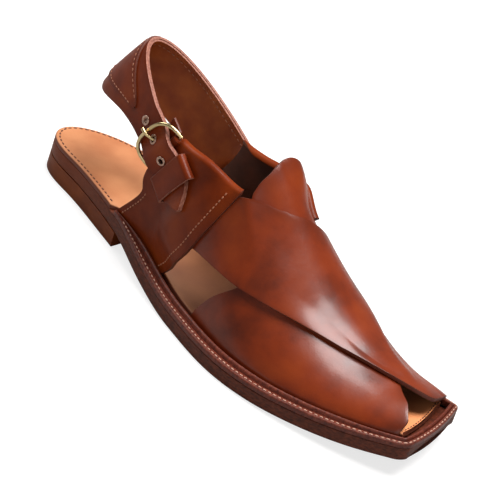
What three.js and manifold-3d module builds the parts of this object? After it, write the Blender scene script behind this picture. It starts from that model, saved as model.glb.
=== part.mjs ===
// A leather chappal for the right foot, in millimetres: +Z is up, +Y points to the toe and +X to the
// outer side of the foot. Two broad straps cross over the forefoot, a quarter stands on each side of the
// instep, and a heel strap buckles on the outer quarter. The origin is on the floor, under the middle of
// the heel. Inside this file Y is measured from the back of the sole, and the group moves it at the end.
import * as THREE from "three";
import { mergeVertices } from "three/addons/utils/BufferGeometryUtils.js";
import Module from "manifold-3d";

const wasm = await Module();
wasm.setup();

// Driving sizes of the sole
const soleLength = 290;
const ballWidth = 98;
const heelSeat = 35;
const heelRounding = 72;
const outsoleThickness = 7.5;
const insoleThickness = 2.6;
const heelLift = 10.4;
const breastDistance = 78;
const toeSpring = 10.5;
const toeSlant = 11;
const toeBow = 2.2;
const toeCorner = 4;
const weltWidth = 7.4;
const beadHeight = 1.7;
const gap = 0.3;
const seam = 0.5;

// Driving sizes of the upper
const leather = 2.2;
const instepHeight = 83;
const quarterHeight = 66;
const strapLeather = 2.4;
const strapPadding = 0.8;
const strapWidthBack = 44;
const strapWidthInner = 40;
const strapWidthFront = 22;
const strapTipLength = 34;
const strapPointLength = 12;

// Driving sizes of the buckle
const wire = 2.2;
const buckleInside = 30;
const buckleDepth = 12.5;
const keeperLength = 14;
const keeperLeather = 1.6;
const eyeletDiameter = 5.6;
const eyeletHole = 2.8;
const eyeletPitch = 12;

// The sole seen from above: half its width and the sideways swing of its middle line, as shares of the
// ball width, at shares of the length from the back.
const outlineRows = [
  { at: 0.0, half: 0.31, swing: 0.058 },
  { at: 0.12, half: 0.281, swing: -0.007 },
  { at: 0.25, half: 0.295, swing: 0.02 },
  { at: 0.38, half: 0.336, swing: 0.096 },
  { at: 0.5, half: 0.408, swing: 0.114 },
  { at: 0.62, half: 0.488, swing: 0.091 },
  { at: 0.72, half: 0.499, swing: 0.057 },
  { at: 0.82, half: 0.44, swing: 0.036 },
  { at: 0.91, half: 0.36, swing: 0.01 },
  { at: 1.0, half: 0.27, swing: -0.045 },
];

// The last over the foot: the height of its ridge above the feather line as a share of the instep height,
// how far the ridge leans to the inner side as a share of the ball width, and the squareness of the arch.
const lastRows = [
  { at: 0.2, height: 2.05, lean: 0.0, square: 2.6 },
  { at: 0.3, height: 1.8, lean: 0.0, square: 2.5 },
  { at: 0.38, height: 1.45, lean: 0.0, square: 2.4 },
  { at: 0.45, height: 1.2, lean: 0.03, square: 2.15 },
  { at: 0.52, height: 0.98, lean: 0.062, square: 1.9 },
  { at: 0.6, height: 0.72, lean: 0.058, square: 1.8 },
  { at: 0.7, height: 0.455, lean: 0.055, square: 1.75 },
  { at: 0.8, height: 0.28, lean: 0.052, square: 1.75 },
  { at: 0.9, height: 0.205, lean: 0.049, square: 1.8 },
  { at: 1.0, height: 0.165, lean: 0.045, square: 1.9 },
];

// The strap on top, from under the outer quarter over the ridge to the inner toe. "at" runs round the foot
// from the outer feather line at 0 to the inner one at 1, and the edges are shares of the sole's length.
const overStrapRows = [
  { at: 0.03, rear: 0.385, front: 0.42 },
  { at: 0.092, rear: 0.415, front: 0.461 },
  { at: 0.142, rear: 0.44, front: 0.537 },
  { at: 0.176, rear: 0.455, front: 0.587 },
  { at: 0.226, rear: 0.475, front: 0.646 },
  { at: 0.275, rear: 0.494, front: 0.697 },
  { at: 0.342, rear: 0.528, front: 0.77 },
  { at: 0.392, rear: 0.553, front: 0.83 },
  { at: 0.42, rear: 0.562, front: 0.895 },
  { at: 0.45, rear: 0.572, front: 0.965 },
  { at: 0.5, rear: 0.581, front: 0.995 },
  { at: 0.6, rear: 0.595, front: 1.0 },
  { at: 0.7, rear: 0.6, front: 1.0 },
  { at: 0.8, rear: 0.595, front: 1.0 },
  { at: 0.9, rear: 0.565, front: 0.995 },
  { at: 1.0, rear: 0.53, front: 0.985 },
];

// The strap below, from the outer toe up to the inner instep, where its rear edge makes the throat's tab.
const underStrapRows = [
  { at: 0.0, rear: 0.525, front: 0.993 },
  { at: 0.084, rear: 0.553, front: 0.995 },
  { at: 0.167, rear: 0.587, front: 0.994 },
  { at: 0.22, rear: 0.598, front: 0.987 },
  { at: 0.27, rear: 0.575, front: 0.979 },
  { at: 0.31, rear: 0.52, front: 0.97 },
  { at: 0.35, rear: 0.51, front: 0.955 },
  { at: 0.42, rear: 0.509, front: 0.925 },
  { at: 0.5, rear: 0.503, front: 0.885 },
  { at: 0.56, rear: 0.498, front: 0.855 },
  { at: 0.62, rear: 0.503, front: 0.81 },
  { at: 0.68, rear: 0.52, front: 0.745 },
  { at: 0.74, rear: 0.53, front: 0.68 },
  { at: 0.8, rear: 0.5, front: 0.615 },
  { at: 0.86, rear: 0.46, front: 0.535 },
  { at: 0.92, rear: 0.42, front: 0.455 },
  { at: 0.97, rear: 0.385, front: 0.42 },
];

// Rear and front edges of each quarter as shares of the sole's length, at shares of the quarter's height.
const outerQuarterRows = [
  { at: 0.0, rear: 0.245, front: 0.408 },
  { at: 0.15, rear: 0.266, front: 0.434 },
  { at: 0.3, rear: 0.286, front: 0.453 },
  { at: 0.4, rear: 0.294, front: 0.464 },
  { at: 0.48, rear: 0.288, front: 0.47 },
  { at: 0.58, rear: 0.289, front: 0.476 },
  { at: 0.7, rear: 0.3, front: 0.484 },
  { at: 0.85, rear: 0.321, front: 0.492 },
  { at: 1.0, rear: 0.342, front: 0.498 },
];
const innerQuarterRows = [
  { at: 0.0, rear: 0.245, front: 0.408 },
  { at: 0.15, rear: 0.266, front: 0.43 },
  { at: 0.3, rear: 0.288, front: 0.452 },
  { at: 0.45, rear: 0.31, front: 0.475 },
  { at: 0.6, rear: 0.331, front: 0.502 },
  { at: 0.75, rear: 0.35, front: 0.53 },
  { at: 0.88, rear: 0.362, front: 0.556 },
  { at: 1.0, rear: 0.37, front: 0.572 },
];
// Height of the quarters' top edges above the feather line, as a share of the quarter's height.
const quarterTopRows = [
  { at: 0.3, outer: 1.0, inner: 0.95 },
  { at: 0.36, outer: 1.05, inner: 0.99 },
  { at: 0.42, outer: 1.11, inner: 1.03 },
  { at: 0.5, outer: 1.075, inner: 1.04 },
  { at: 0.58, outer: 1.04, inner: 0.88 },
];

// A column of a table as a smooth function of its "at" column.
function smoothColumn(rows, column) {
  const end = rows.length - 1;
  const slope = (i) => {
    const before = rows[Math.max(i - 1, 0)];
    const after = rows[Math.min(i + 1, end)];
    return (after[column] - before[column]) / (after.at - before.at);
  };
  return (at) => {
    let i = 0;
    while (i < end - 1 && rows[i + 1].at < at) i += 1;
    const span = rows[i + 1].at - rows[i].at;
    const u = THREE.MathUtils.clamp((at - rows[i].at) / span, 0, 1);
    const rise = rows[i + 1][column] - rows[i][column];
    const start = slope(i) * span;
    const finish = slope(i + 1) * span;
    return rows[i][column] + start * u + (3 * rise - 2 * start - finish) * u ** 2 + (start + finish - 2 * rise) * u ** 3;
  };
}

const halfShare = smoothColumn(outlineRows, "half");
const swingShare = smoothColumn(outlineRows, "swing");
const ridgeShare = smoothColumn(lastRows, "height");
const leanShare = smoothColumn(lastRows, "lean");
const squareness = smoothColumn(lastRows, "square");
const overRear = smoothColumn(overStrapRows, "rear");
const overFront = smoothColumn(overStrapRows, "front");
const underRear = smoothColumn(underStrapRows, "rear");
const underFront = smoothColumn(underStrapRows, "front");

const ramp = (value, from, to) => THREE.MathUtils.smoothstep(value, from, to);

// Height of the top of the sole's rim above the floor: the heel seat, the fall of the shank, the flat
// tread under the ball and the toe spring.
const shankStart = 0.2;
const shankEnd = 0.5;
const springStart = 0.66;
const treadHeight = outsoleThickness + gap + insoleThickness;
function rimHeight(s) {
  const spring = Math.max(0, (s - springStart) / (1 - springStart));
  return treadHeight + heelLift * (1 - ramp(s, shankStart, shankEnd)) + toeSpring * spring ** 2;
}

// A point of the sole's plan at a share s of its length. across is 1 at the outer edge and -1 at the inner
// one, and inset is the distance in from the edge all round.
const heelTurn = 0.12;
const toeTurn = 0.86;
const slopeStep = 0.004;
function planPoint(s, across, inset = 0) {
  const along = s * soleLength + inset * (1 - ramp(s, 0, heelTurn) - ramp(s, toeTurn, 1));
  const place = along / soleLength;
  const side = across < 0 ? -1 : 1;
  const edge = (at) => (side * halfShare(at) + swingShare(at)) * ballWidth;
  const slope = (edge(place + slopeStep) - edge(place - slopeStep)) / (2 * slopeStep * soleLength);
  const corner = Math.max(toeCorner - inset, gap);
  const back = THREE.MathUtils.clamp((along - inset) / (heelRounding - inset), 0, 1);
  const front = THREE.MathUtils.clamp((soleLength - inset - along) / corner, 0, 1);
  const cut = corner * (1 - Math.sqrt(1 - (1 - front) ** 2));
  const half = (halfShare(place) * ballWidth - inset * Math.hypot(1, slope)) * Math.sqrt(1 - (1 - back) ** 2) - cut;
  const slant = toeSlant * ramp(s, 0.75, 1) * (1 - across) * 0.5;
  const bow = toeBow * ramp(s, 0.9, 1) * (1 - across ** 2);
  return new THREE.Vector2(swingShare(place) * ballWidth + across * half, along - slant + bow);
}

const featherHeight = (s) => rimHeight(s) - insoleThickness;

// Distance from the sole's edge to the last: the welt narrows to nothing behind the quarters, and a
// little across the toe.
const weltStart = 0.22;
const weltFull = 0.38;
const rearInset = leather + seam + 0.4;
const toeTrim = 2.6;
const toeTrimStart = 0.86;
function featherInset(s) {
  const full = weltWidth + seam + leather;
  return rearInset + (full - rearInset) * ramp(s, weltStart, weltFull) - toeTrim * ramp(s, toeTrimStart, 1);
}

// A point of the last. t runs round the foot from the outer feather line at 0 over the ridge to 1. Its
// first short stretch on each side is an upright wall as high as the insole.
const wallTurn = 0.02;
function lastSurface(s, t) {
  const outer = planPoint(s, 1, featherInset(s));
  const inner = planPoint(s, -1, featherInset(s));
  const power = 2 / squareness(s);
  const a = Math.sign(Math.cos(Math.PI * t)) * Math.abs(Math.cos(Math.PI * t)) ** power;
  const b = Math.max(0, Math.sin(Math.PI * t)) ** power;
  const plan = outer.lerp(inner, (1 - a) / 2);
  const wall = insoleThickness * Math.min(1, t / wallTurn, (1 - t) / wallTurn);
  const height = wall + (ridgeShare(s) * instepHeight - insoleThickness) * b;
  return new THREE.Vector3(plan.x - leanShare(s) * ballWidth * b, plan.y, featherHeight(s) + height);
}

// The last's outward direction, and a point lifted off the last along it.
function lastNormal(s, t) {
  const step = 0.002;
  const along = lastSurface(s + step, t).sub(lastSurface(s - step, t));
  const from = Math.max(t - step, 0);
  const to = Math.min(t + step, 1);
  const round = lastSurface(s, to).sub(lastSurface(s, from));
  return along.cross(round).normalize();
}
const onLast = (s, t, lift) => lastSurface(s, t).addScaledVector(lastNormal(s, t), lift);

// The same surface reached by a height above the feather line, on the outer side (1) or the inner one (-1).
function turnAt(s, height, side) {
  const rise = ridgeShare(s) * instepHeight - insoleThickness;
  const power = 2 / squareness(s);
  let [low, high] = [0, 0.5];
  for (let step = 0; step < 30; step++) {
    const t = (low + high) / 2;
    const wall = insoleThickness * Math.min(1, t / wallTurn);
    if (wall + rise * Math.sin(Math.PI * t) ** power < height) low = t;
    else high = t;
  }
  return side > 0 ? low : 1 - low;
}

// Geometry helpers: a closed mesh with its faces pointing out, joined and cut as a solid.
function closedGeometry(positions, index) {
  const geometry = new THREE.BufferGeometry();
  geometry.setAttribute("position", new THREE.Float32BufferAttribute(positions, 3));
  const [a, b, c] = [new THREE.Vector3(), new THREE.Vector3(), new THREE.Vector3()];
  let volume = 0;
  for (let i = 0; i < index.length; i += 3) {
    a.fromArray(positions, index[i] * 3);
    b.fromArray(positions, index[i + 1] * 3);
    c.fromArray(positions, index[i + 2] * 3);
    volume += a.dot(b.cross(c));
  }
  if (volume < 0) index.reverse();
  geometry.setIndex(index);
  return geometry;
}

function solid(geometry) {
  const bare = geometry.clone();
  bare.deleteAttribute("normal");
  bare.deleteAttribute("uv");
  const merged = mergeVertices(bare, 1e-4);
  const mesh = new wasm.Mesh({
    numProp: 3,
    vertProperties: merged.attributes.position.array,
    triVerts: new Uint32Array(merged.index.array),
  });
  return new wasm.Manifold(mesh);
}

// The solid's geometry, without the slivers that a cut leaves where two faces nearly meet.
const sliver = 0.03;
function geometryOf(manifold) {
  const { vertProperties, triVerts } = manifold.asOriginal().simplify(sliver).getMesh();
  const geometry = new THREE.BufferGeometry();
  geometry.setAttribute("position", new THREE.BufferAttribute(vertProperties, 3));
  geometry.setIndex(new THREE.BufferAttribute(triVerts, 1));
  return geometry;
}

// The largest body of a solid, without the closed pockets that two laid sheets leave between them.
function largest(manifold) {
  return manifold.decompose().sort((a, b) => b.volume() - a.volume())[0];
}

// A sheet between an inner and an outer face, each a function of (u, v), closed along its four edges.
function sheet(innerFace, outerFace, across, along) {
  const positions = [];
  const index = [];
  const count = (across + 1) * (along + 1);
  for (const face of [innerFace, outerFace]) {
    for (let i = 0; i <= across; i++) {
      for (let j = 0; j <= along; j++) positions.push(...face(i / across, j / along).toArray());
    }
  }
  const at = (face, i, j) => face * count + i * (along + 1) + j;
  const quad = (a, b, c, d) => index.push(a, b, c, a, c, d);
  for (let i = 0; i < across; i++) {
    for (let j = 0; j < along; j++) {
      quad(at(0, i, j), at(0, i, j + 1), at(0, i + 1, j + 1), at(0, i + 1, j));
      quad(at(1, i, j), at(1, i + 1, j), at(1, i + 1, j + 1), at(1, i, j + 1));
    }
    quad(at(0, i, 0), at(0, i + 1, 0), at(1, i + 1, 0), at(1, i, 0));
    quad(at(0, i, along), at(1, i, along), at(1, i + 1, along), at(0, i + 1, along));
  }
  for (let j = 0; j < along; j++) {
    quad(at(0, 0, j), at(1, 0, j), at(1, 0, j + 1), at(0, 0, j + 1));
    quad(at(0, across, j), at(0, across, j + 1), at(1, across, j + 1), at(1, across, j));
  }
  return closedGeometry(positions, index);
}

// A loft through rings of equal length. The ends are closed by triangles found in the flat outline, or by
// fans from each ring's first point.
function loft(rings, outline) {
  const positions = rings.flat().flatMap((point) => point.toArray());
  const size = rings[0].length;
  const index = [];
  for (let i = 0; i < rings.length - 1; i++) {
    for (let j = 0; j < size; j++) {
      const next = (j + 1) % size;
      const [a, b, c, d] = [i * size + j, i * size + next, (i + 1) * size + next, (i + 1) * size + j];
      index.push(a, b, c, a, c, d);
    }
  }
  const last = (rings.length - 1) * size;
  const fan = Array.from({ length: size - 2 }, (_, j) => [0, j + 1, j + 2]);
  const turned = outline && THREE.ShapeUtils.isClockWise(outline);
  const faces = outline ? THREE.ShapeUtils.triangulateShape(outline, []) : fan;
  for (const [a, b, c] of faces) {
    index.push(...(turned ? [a, b, c] : [a, c, b]));
    index.push(...(turned ? [last + a, last + c, last + b] : [last + a, last + b, last + c]));
  }
  return closedGeometry(positions, index);
}

// Stations along the sole, closer together round the heel and at the toe's corners.
const backEnd = 0.0004;
function stations(from, to) {
  const list = [];
  const heelSteps = 9;
  const toeSteps = 4;
  const straight = soleLength - heelRounding - toeCorner;
  const straightSteps = Math.round(straight / 11);
  for (let k = 1; k <= heelSteps; k++) list.push(heelRounding * (1 - Math.cos((k / heelSteps) * (Math.PI / 2))));
  for (let k = 1; k <= straightSteps; k++) list.push(heelRounding + (straight * k) / straightSteps);
  for (let k = 1; k <= toeSteps; k++) list.push(soleLength - toeCorner * (1 - Math.sin((k / toeSteps) * (Math.PI / 2))));
  const shares = list.map((place) => place / soleLength);
  return [from, ...shares.filter((s) => s > from + 0.004 && s < to - 0.0004), to];
}

// A layer of the sole as a loft: its edge is a list of { inset, height } steps from the top down. Points
// between the two edges let the front follow the toe's bow.
const bowShares = [0.5, 0, -0.5];
function soleLayer(from, to, edgeAt) {
  return loft(
    stations(from, to).map((s) => {
      const edge = edgeAt(s);
      const corner = (across, { inset, height }) => {
        const plan = planPoint(s, across, inset);
        return new THREE.Vector3(plan.x, plan.y, height);
      };
      const outer = edge.map((step) => corner(1, step));
      const bottom = bowShares.map((across) => corner(across, edge[edge.length - 1]));
      const inner = edge.map((step) => corner(-1, step)).reverse();
      const top = bowShares.map((across) => corner(-across, edge[0]));
      return [...outer, ...bottom, ...inner, ...top];
    }),
  );
}

// The outsole: full length, its edge slightly rounded.
const edgeRound = 0.7;
function outsole() {
  return soleLayer(backEnd, 1, (s) => {
    const top = rimHeight(s) - insoleThickness - gap;
    const bottom = top - outsoleThickness;
    return [
      { inset: edgeRound, height: top },
      { inset: 0, height: top - edgeRound },
      { inset: 0, height: bottom + edgeRound * 2 },
      { inset: edgeRound * 1.5, height: bottom },
    ];
  });
}

// The heel lift, from the back of the sole to its breast.
function heel() {
  return soleLayer(backEnd, breastDistance / soleLength, (s) => {
    const top = rimHeight(s) - treadHeight - gap;
    return [
      { inset: 0, height: top },
      { inset: edgeRound, height: edgeRound },
      { inset: edgeRound * 2, height: 0 },
    ];
  });
}

// The insole: out to the sole's edge at the heel, and inside the upper ahead of the quarters' rear corners.
const insoleStep = 0.236;
function insole() {
  return soleLayer(backEnd, 1, (s) => {
    const top = rimHeight(s);
    const inset = s < insoleStep ? 0 : featherInset(s) + seam;
    return [
      { inset: inset + edgeRound * 0.5, height: top },
      { inset, height: top - edgeRound },
      { inset, height: top - insoleThickness },
    ];
  });
}

// The welt: a flat stitched rim, a groove and a rounded bead against the upper. Its profile is given in
// shares of the welt's width in from the edge and in millimetres above the rim.
const weltFrom = 0.25;
const weltProfile = [
  { in: 0.5, up: -insoleThickness },
  { in: 0.0, up: -insoleThickness },
  { in: 0.0, up: -0.5 },
  { in: 0.06, up: 0.0 },
  { in: 0.5, up: 0.0 },
  { in: 0.58, up: -0.5 },
  { in: 0.65, up: beadHeight * 0.5 },
  { in: 0.74, up: beadHeight * 0.95 },
  { in: 0.86, up: beadHeight },
  { in: 0.96, up: beadHeight * 0.6 },
  { in: 1.0, up: -0.2 },
  { in: 1.0, up: -insoleThickness },
];
function welt() {
  const sides = stations(weltFrom, 1);
  const frontSteps = 4;
  const path = sides.map((s) => ({ s, across: 1 }));
  for (let k = 1; k < frontSteps; k++) path.push({ s: 1, across: 1 - (2 * k) / frontSteps });
  path.push(...sides.reverse().map((s) => ({ s, across: -1 })));
  return loft(
    path.map(({ s, across }) => {
      const width = featherInset(s) - leather - seam;
      const shrink = width / weltWidth;
      return weltProfile.map((corner) => {
        const plan = planPoint(s, across, corner.in * width);
        const up = corner.up > 0 ? corner.up * shrink : corner.up;
        return new THREE.Vector3(plan.x, plan.y, rimHeight(s) + up);
      });
    }),
  );
}

// How far the strap on top is lifted by the strap below it: a little less than the leather, so that the
// two join where they cross.
const fuse = 0.5;
const easeIn = 0.035;
const laid = leather - fuse;
function overLift(s, t) {
  const rear = underRear(Math.min(t, 0.97));
  const front = underFront(Math.min(t, 0.97));
  return laid * ramp(s, rear - easeIn, rear) * (1 - ramp(s, front, front + easeIn));
}

// The throat's tab stands off the foot on its inner side.
const tabLift = 4.5;
function underLift(s, t) {
  return tabLift * ramp(t, 0.5, 0.62) * (1 - ramp(t, 0.72, 0.84)) * (1 - ramp(s, 0.5, 0.57));
}

function strap(rows, rear, front, liftAt, across, along) {
  const first = rows[0].at;
  const last = rows[rows.length - 1].at;
  const place = (u, v) => {
    const t = THREE.MathUtils.lerp(first, last, v);
    return { s: THREE.MathUtils.lerp(rear(t), front(t), u), t };
  };
  const face = (extra) => (u, v) => {
    const { s, t } = place(u, v);
    return onLast(s, t, liftAt(s, t) + extra);
  };
  return sheet(face(0), face(leather), across, along);
}

// How far a quarter stands off the last: it steps up over the strap's end.
function quarterLift(s, t, side) {
  const turn = side > 0 ? t : 1 - t;
  const strapRear = side > 0 ? overRear(t) : underRear(t);
  const below = side > 0 ? overLift(s, t) : underLift(s, t);
  return (laid * ramp(s, strapRear - easeIn, strapRear) + below) * ramp(turn, 0.01, 0.05);
}

// A quarter: the side wall from the feather line up to the top edge.
function quarter(rows, side) {
  const rear = smoothColumn(rows, "rear");
  const front = smoothColumn(rows, "front");
  const top = smoothColumn(quarterTopRows, side > 0 ? "outer" : "inner");
  const place = (u, v) => {
    const s = THREE.MathUtils.lerp(rear(v), front(v), u);
    return { s, t: turnAt(s, v * top(s) * quarterHeight, side) };
  };
  const face = (extra) => (u, v) => {
    const { s, t } = place(u, v);
    return onLast(s, t, quarterLift(s, t, side) + extra);
  };
  return sheet(face(0), face(leather), 12, 12);
}

// The buckle's own directions on the outer quarter: "along" follows the strap to its tip, "across" is the
// bar, and "out" points away from the foot.
const bucklePlace = 0.313;
const buckleHeight = 0.83;
const strapSlope = THREE.MathUtils.degToRad(29.5);
const along = new THREE.Vector2(Math.cos(strapSlope), -Math.sin(strapSlope));
const across = new THREE.Vector2(Math.sin(strapSlope), Math.cos(strapSlope));
const buckleCentre = new THREE.Vector2(bucklePlace * soleLength, featherHeight(bucklePlace) + buckleHeight * quarterHeight);

// A point on the outer quarter at (a, w) in the buckle's plane, lifted off the quarter's inner face.
function byBuckle(a, w, lift) {
  const place = buckleCentre.clone().addScaledVector(along, a).addScaledVector(across, w);
  const s = place.x / soleLength;
  const t = turnAt(s, place.y - featherHeight(s), 1);
  return onLast(s, t, quarterLift(s, t, 1) + lift);
}

// The bar is straight, so the hard pieces use a rigid frame at its middle: "along" and "across" as above,
// and "out" square to both.
const barLift = 1.6;
const barMiddle = byBuckle(0, 0, barLift);
const acrossAxis = byBuckle(0, buckleInside / 2, barLift).sub(byBuckle(0, -buckleInside / 2, barLift)).normalize();
const outAxis = acrossAxis.clone().cross(byBuckle(2, 0, barLift).sub(byBuckle(-2, 0, barLift))).normalize();
const alongAxis = outAxis.clone().cross(acrossAxis);
const barFrame = new THREE.Matrix4().makeBasis(alongAxis, outAxis, acrossAxis).setPosition(barMiddle);
const atBar = (a, out, w) => new THREE.Vector3(a, out, w).applyMatrix4(barFrame);

const disc = (radius) => new THREE.Shape().absarc(0, 0, radius, 0, Math.PI * 2);
function rod(radius, points, curveSegments = 5) {
  const straight = points.length === 2;
  const path = straight ? new THREE.LineCurve3(...points) : new THREE.CatmullRomCurve3(points);
  const steps = straight ? 1 : points.length * 2;
  return solid(new THREE.ExtrudeGeometry(disc(radius), { extrudePath: path, steps, curveSegments }));
}

// The upper: both straps and both quarters as one shell. The outer quarter's leather turns round the bar
// as a barrel, with a slot for the prong.
const barrelHole = wire / 2 + gap;
const barrelRadius = barrelHole + 1.4;
const prongWire = 1.9;
const prongSlot = prongWire + 2 * gap + 1.2;
function upper() {
  const overStrap = solid(strap(overStrapRows, overRear, overFront, overLift, 12, 26));
  const underStrap = solid(strap(underStrapRows, underRear, underFront, underLift, 12, 26));
  const outerQuarter = solid(quarter(outerQuarterRows, 1));
  const innerQuarter = solid(quarter(innerQuarterRows, -1));
  const half = buckleInside / 2 - gap;
  const barrel = rod(barrelRadius, [atBar(0, 0, -half), atBar(0, 0, half)], 10);
  const bore = rod(barrelHole, [atBar(0, 0, -half - leather), atBar(0, 0, half + leather)], 10);
  const slot = new THREE.BoxGeometry(barrelRadius * 2 + leather, barrelRadius * 6, prongSlot);
  slot.applyMatrix4(barFrame);
  const joined = overStrap.add(underStrap).add(outerQuarter).add(innerQuarter).add(barrel);
  return geometryOf(largest(joined.subtract(bore).subtract(solid(slot))));
}

// The buckle's frame: a straight bar and a squared arc that stands off the quarter to clear the strap.
const arcRise = 5.4;
const arcSquare = 0.7;
function buckle() {
  const reach = buckleInside / 2 + wire / 2;
  const bar = rod(wire / 2, [atBar(0, 0, -reach), atBar(0, 0, reach)]);
  const points = [];
  const steps = 14;
  for (let k = 0; k <= steps; k++) {
    const angle = (Math.PI * k) / steps;
    const w = -Math.sign(Math.cos(angle)) * Math.abs(Math.cos(angle)) ** arcSquare * reach;
    const back = Math.abs(Math.sin(angle)) ** arcSquare;
    points.push(atBar(-buckleDepth * back, arcRise * back, w));
  }
  const cap = (side) => rod(wire / 2, [atBar(wire / 2, 0, side * reach), atBar(-wire / 2, 0, side * reach)]);
  return geometryOf(bar.add(rod(wire / 2, points)).add(cap(1)).add(cap(-1)));
}

// The prong: a ring on the bar and a wire up through the strap's hole, resting on the frame's arc.
const prongSteps = [
  { a: -2.1, out: 0.4 },
  { a: -4.2, out: 0.7 },
  { a: -6.2, out: 2.2 },
  { a: -8.2, out: 4.9 },
  { a: -10.6, out: 7.2 },
  { a: -14.2, out: 7.9 },
];
function prong() {
  const ring = new THREE.ExtrudeGeometry(disc(barrelHole + 1), { depth: prongWire, bevelEnabled: false, curveSegments: 8 });
  ring.translate(0, 0, -prongWire / 2).applyMatrix4(barFrame);
  const hole = rod(barrelHole, [atBar(0, 0, -prongWire), atBar(0, 0, prongWire)], 8);
  const shaft = rod(prongWire / 2, prongSteps.map(({ a, out }) => atBar(a, out, 0)));
  return geometryOf(solid(ring).add(shaft).subtract(hole));
}

// The heel strap. Beside the buckle it follows the outer quarter: rows give the lift of its middle off the
// last, from the tip over the bar and under the arc.
const strapLift = leather + gap + strapLeather / 2 + 0.1;
const strapRun = [
  { a: 1.0, lift: 0.0 },
  { a: 0.92, lift: 0.0 },
  { a: 0.8, lift: 0.0 },
  { a: 0.66, lift: 0.0 },
  { a: 0.5, lift: 0.0 },
  { a: 0.38, lift: 0.0 },
  { a: 0.26, lift: 0.15 },
  { a: 0.18, lift: 0.9 },
  { a: 0.1, lift: 1.9 },
  { a: 0.03, lift: 2.3 },
  { a: -0.04, lift: 2.2 },
  { a: -0.12, lift: 1.5 },
  { a: -0.2, lift: 0.5 },
  { a: -0.29, lift: -0.3 },
  { a: -0.38, lift: -0.4 },
  { a: -0.47, lift: -0.3 },
];
// Round the heel it is half an ellipse seen from above. Its top edge falls towards the buckle, and its
// width runs down and back.
const loopBack = 45.6;
const loopDepth = 80;
const loopHalfWidth = ballWidth * 0.27;
const loopSwing = ballWidth * 0.082;
const loopTop = 107;
const loopFall = 0.55;
const loopFrom = 52;
const loopTo = -74;
const innerRun = [
  { place: 0.375, top: 0.75, width: 0.9 },
  { place: 0.4, top: 0.69, width: 0.75 },
  { place: 0.42, top: 0.635, width: 0.62 },
  { place: 0.435, top: 0.59, width: 0.5 },
];
// Degrees round the loop over which the strap widens to its back, and over which the padding ends.
const widenFrom = 58;
const widenTo = 15;
const padFull = 36;
const padEnd = 42;
// A ring of the strap, with a point in the middle of its inner and outer faces.
function bandRing(points) {
  const [innerLow, innerHigh, outerHigh, outerLow] = points;
  const middle = (p, q) => p.clone().lerp(q, 0.5);
  return [innerLow, middle(innerLow, innerHigh), innerHigh, outerHigh, middle(outerHigh, outerLow), outerLow];
}
// The tip narrows over its point, which is left blunt.
const tipTaper = 0.93;
const tipCurve = 1.2;
function strapHalfWidth(a) {
  const point = THREE.MathUtils.clamp((a - (strapTipLength - strapPointLength)) / strapPointLength, 0, 1);
  return (strapWidthFront / 2) * (1 - tipTaper * point ** tipCurve);
}
function heelStrap() {
  const rings = strapRun.map(({ a, lift }) => {
    const place = a * strapTipLength;
    const half = strapHalfWidth(place);
    const low = strapLift + lift - strapLeather / 2;
    const corner = (w, extra) => byBuckle(place, w, low + extra);
    return bandRing([corner(-half, 0), corner(half, 0), corner(half, strapLeather), corner(-half, strapLeather)]);
  });
  const steps = 16;
  for (let k = 0; k <= steps; k++) {
    const degrees = THREE.MathUtils.lerp(loopFrom, loopTo, k / steps);
    const angle = THREE.MathUtils.degToRad(degrees);
    const forward = loopDepth * (1 - Math.cos(angle));
    const top = new THREE.Vector3(loopSwing + loopHalfWidth * Math.sin(angle), loopBack + forward, loopTop - loopFall * forward);
    const front = degrees > 0 ? strapWidthFront : strapWidthInner;
    const width = THREE.MathUtils.lerp(strapWidthBack, front, ramp(Math.abs(degrees), widenTo, widenFrom));
    const down = new THREE.Vector3(0, -across.x, -across.y);
    const tangent = new THREE.Vector3(loopHalfWidth * Math.cos(angle), loopDepth * Math.sin(angle), -loopFall * loopDepth * Math.sin(angle));
    const out = down.clone().cross(tangent).normalize();
    const padding = strapPadding * (1 - ramp(Math.abs(degrees), padFull, padEnd));
    const inner = top.clone().addScaledVector(out, -strapLeather / 2);
    const outer = top.clone().addScaledVector(out, strapLeather / 2 + padding);
    const lower = (point) => point.clone().addScaledVector(down, width);
    rings.push(bandRing([lower(inner), inner, outer, lower(outer)]));
  }
  for (const { place, top, width } of innerRun) {
    const high = top * instepHeight;
    const corner = (w, lift) => {
      const s = place + (across.x * w) / soleLength;
      const t = turnAt(s, high + across.y * w, -1);
      return onLast(s, t, quarterLift(s, t, -1) + lift);
    };
    const low = strapLift - strapLeather / 2 + 0.2;
    const wide = -width * strapWidthInner;
    rings.push(bandRing([corner(wide, low), corner(0, low), corner(0, low + strapLeather), corner(wide, low + strapLeather)]));
  }
  let strapSolid = solid(loft(rings));
  for (const { a } of eyelets) {
    const { start, finish } = eyeletAxis(a);
    strapSolid = strapSolid.subtract(rod(eyeletHole / 2 + 0.4 + gap, [start, finish], 6));
  }
  return geometryOf(strapSolid);
}

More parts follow.
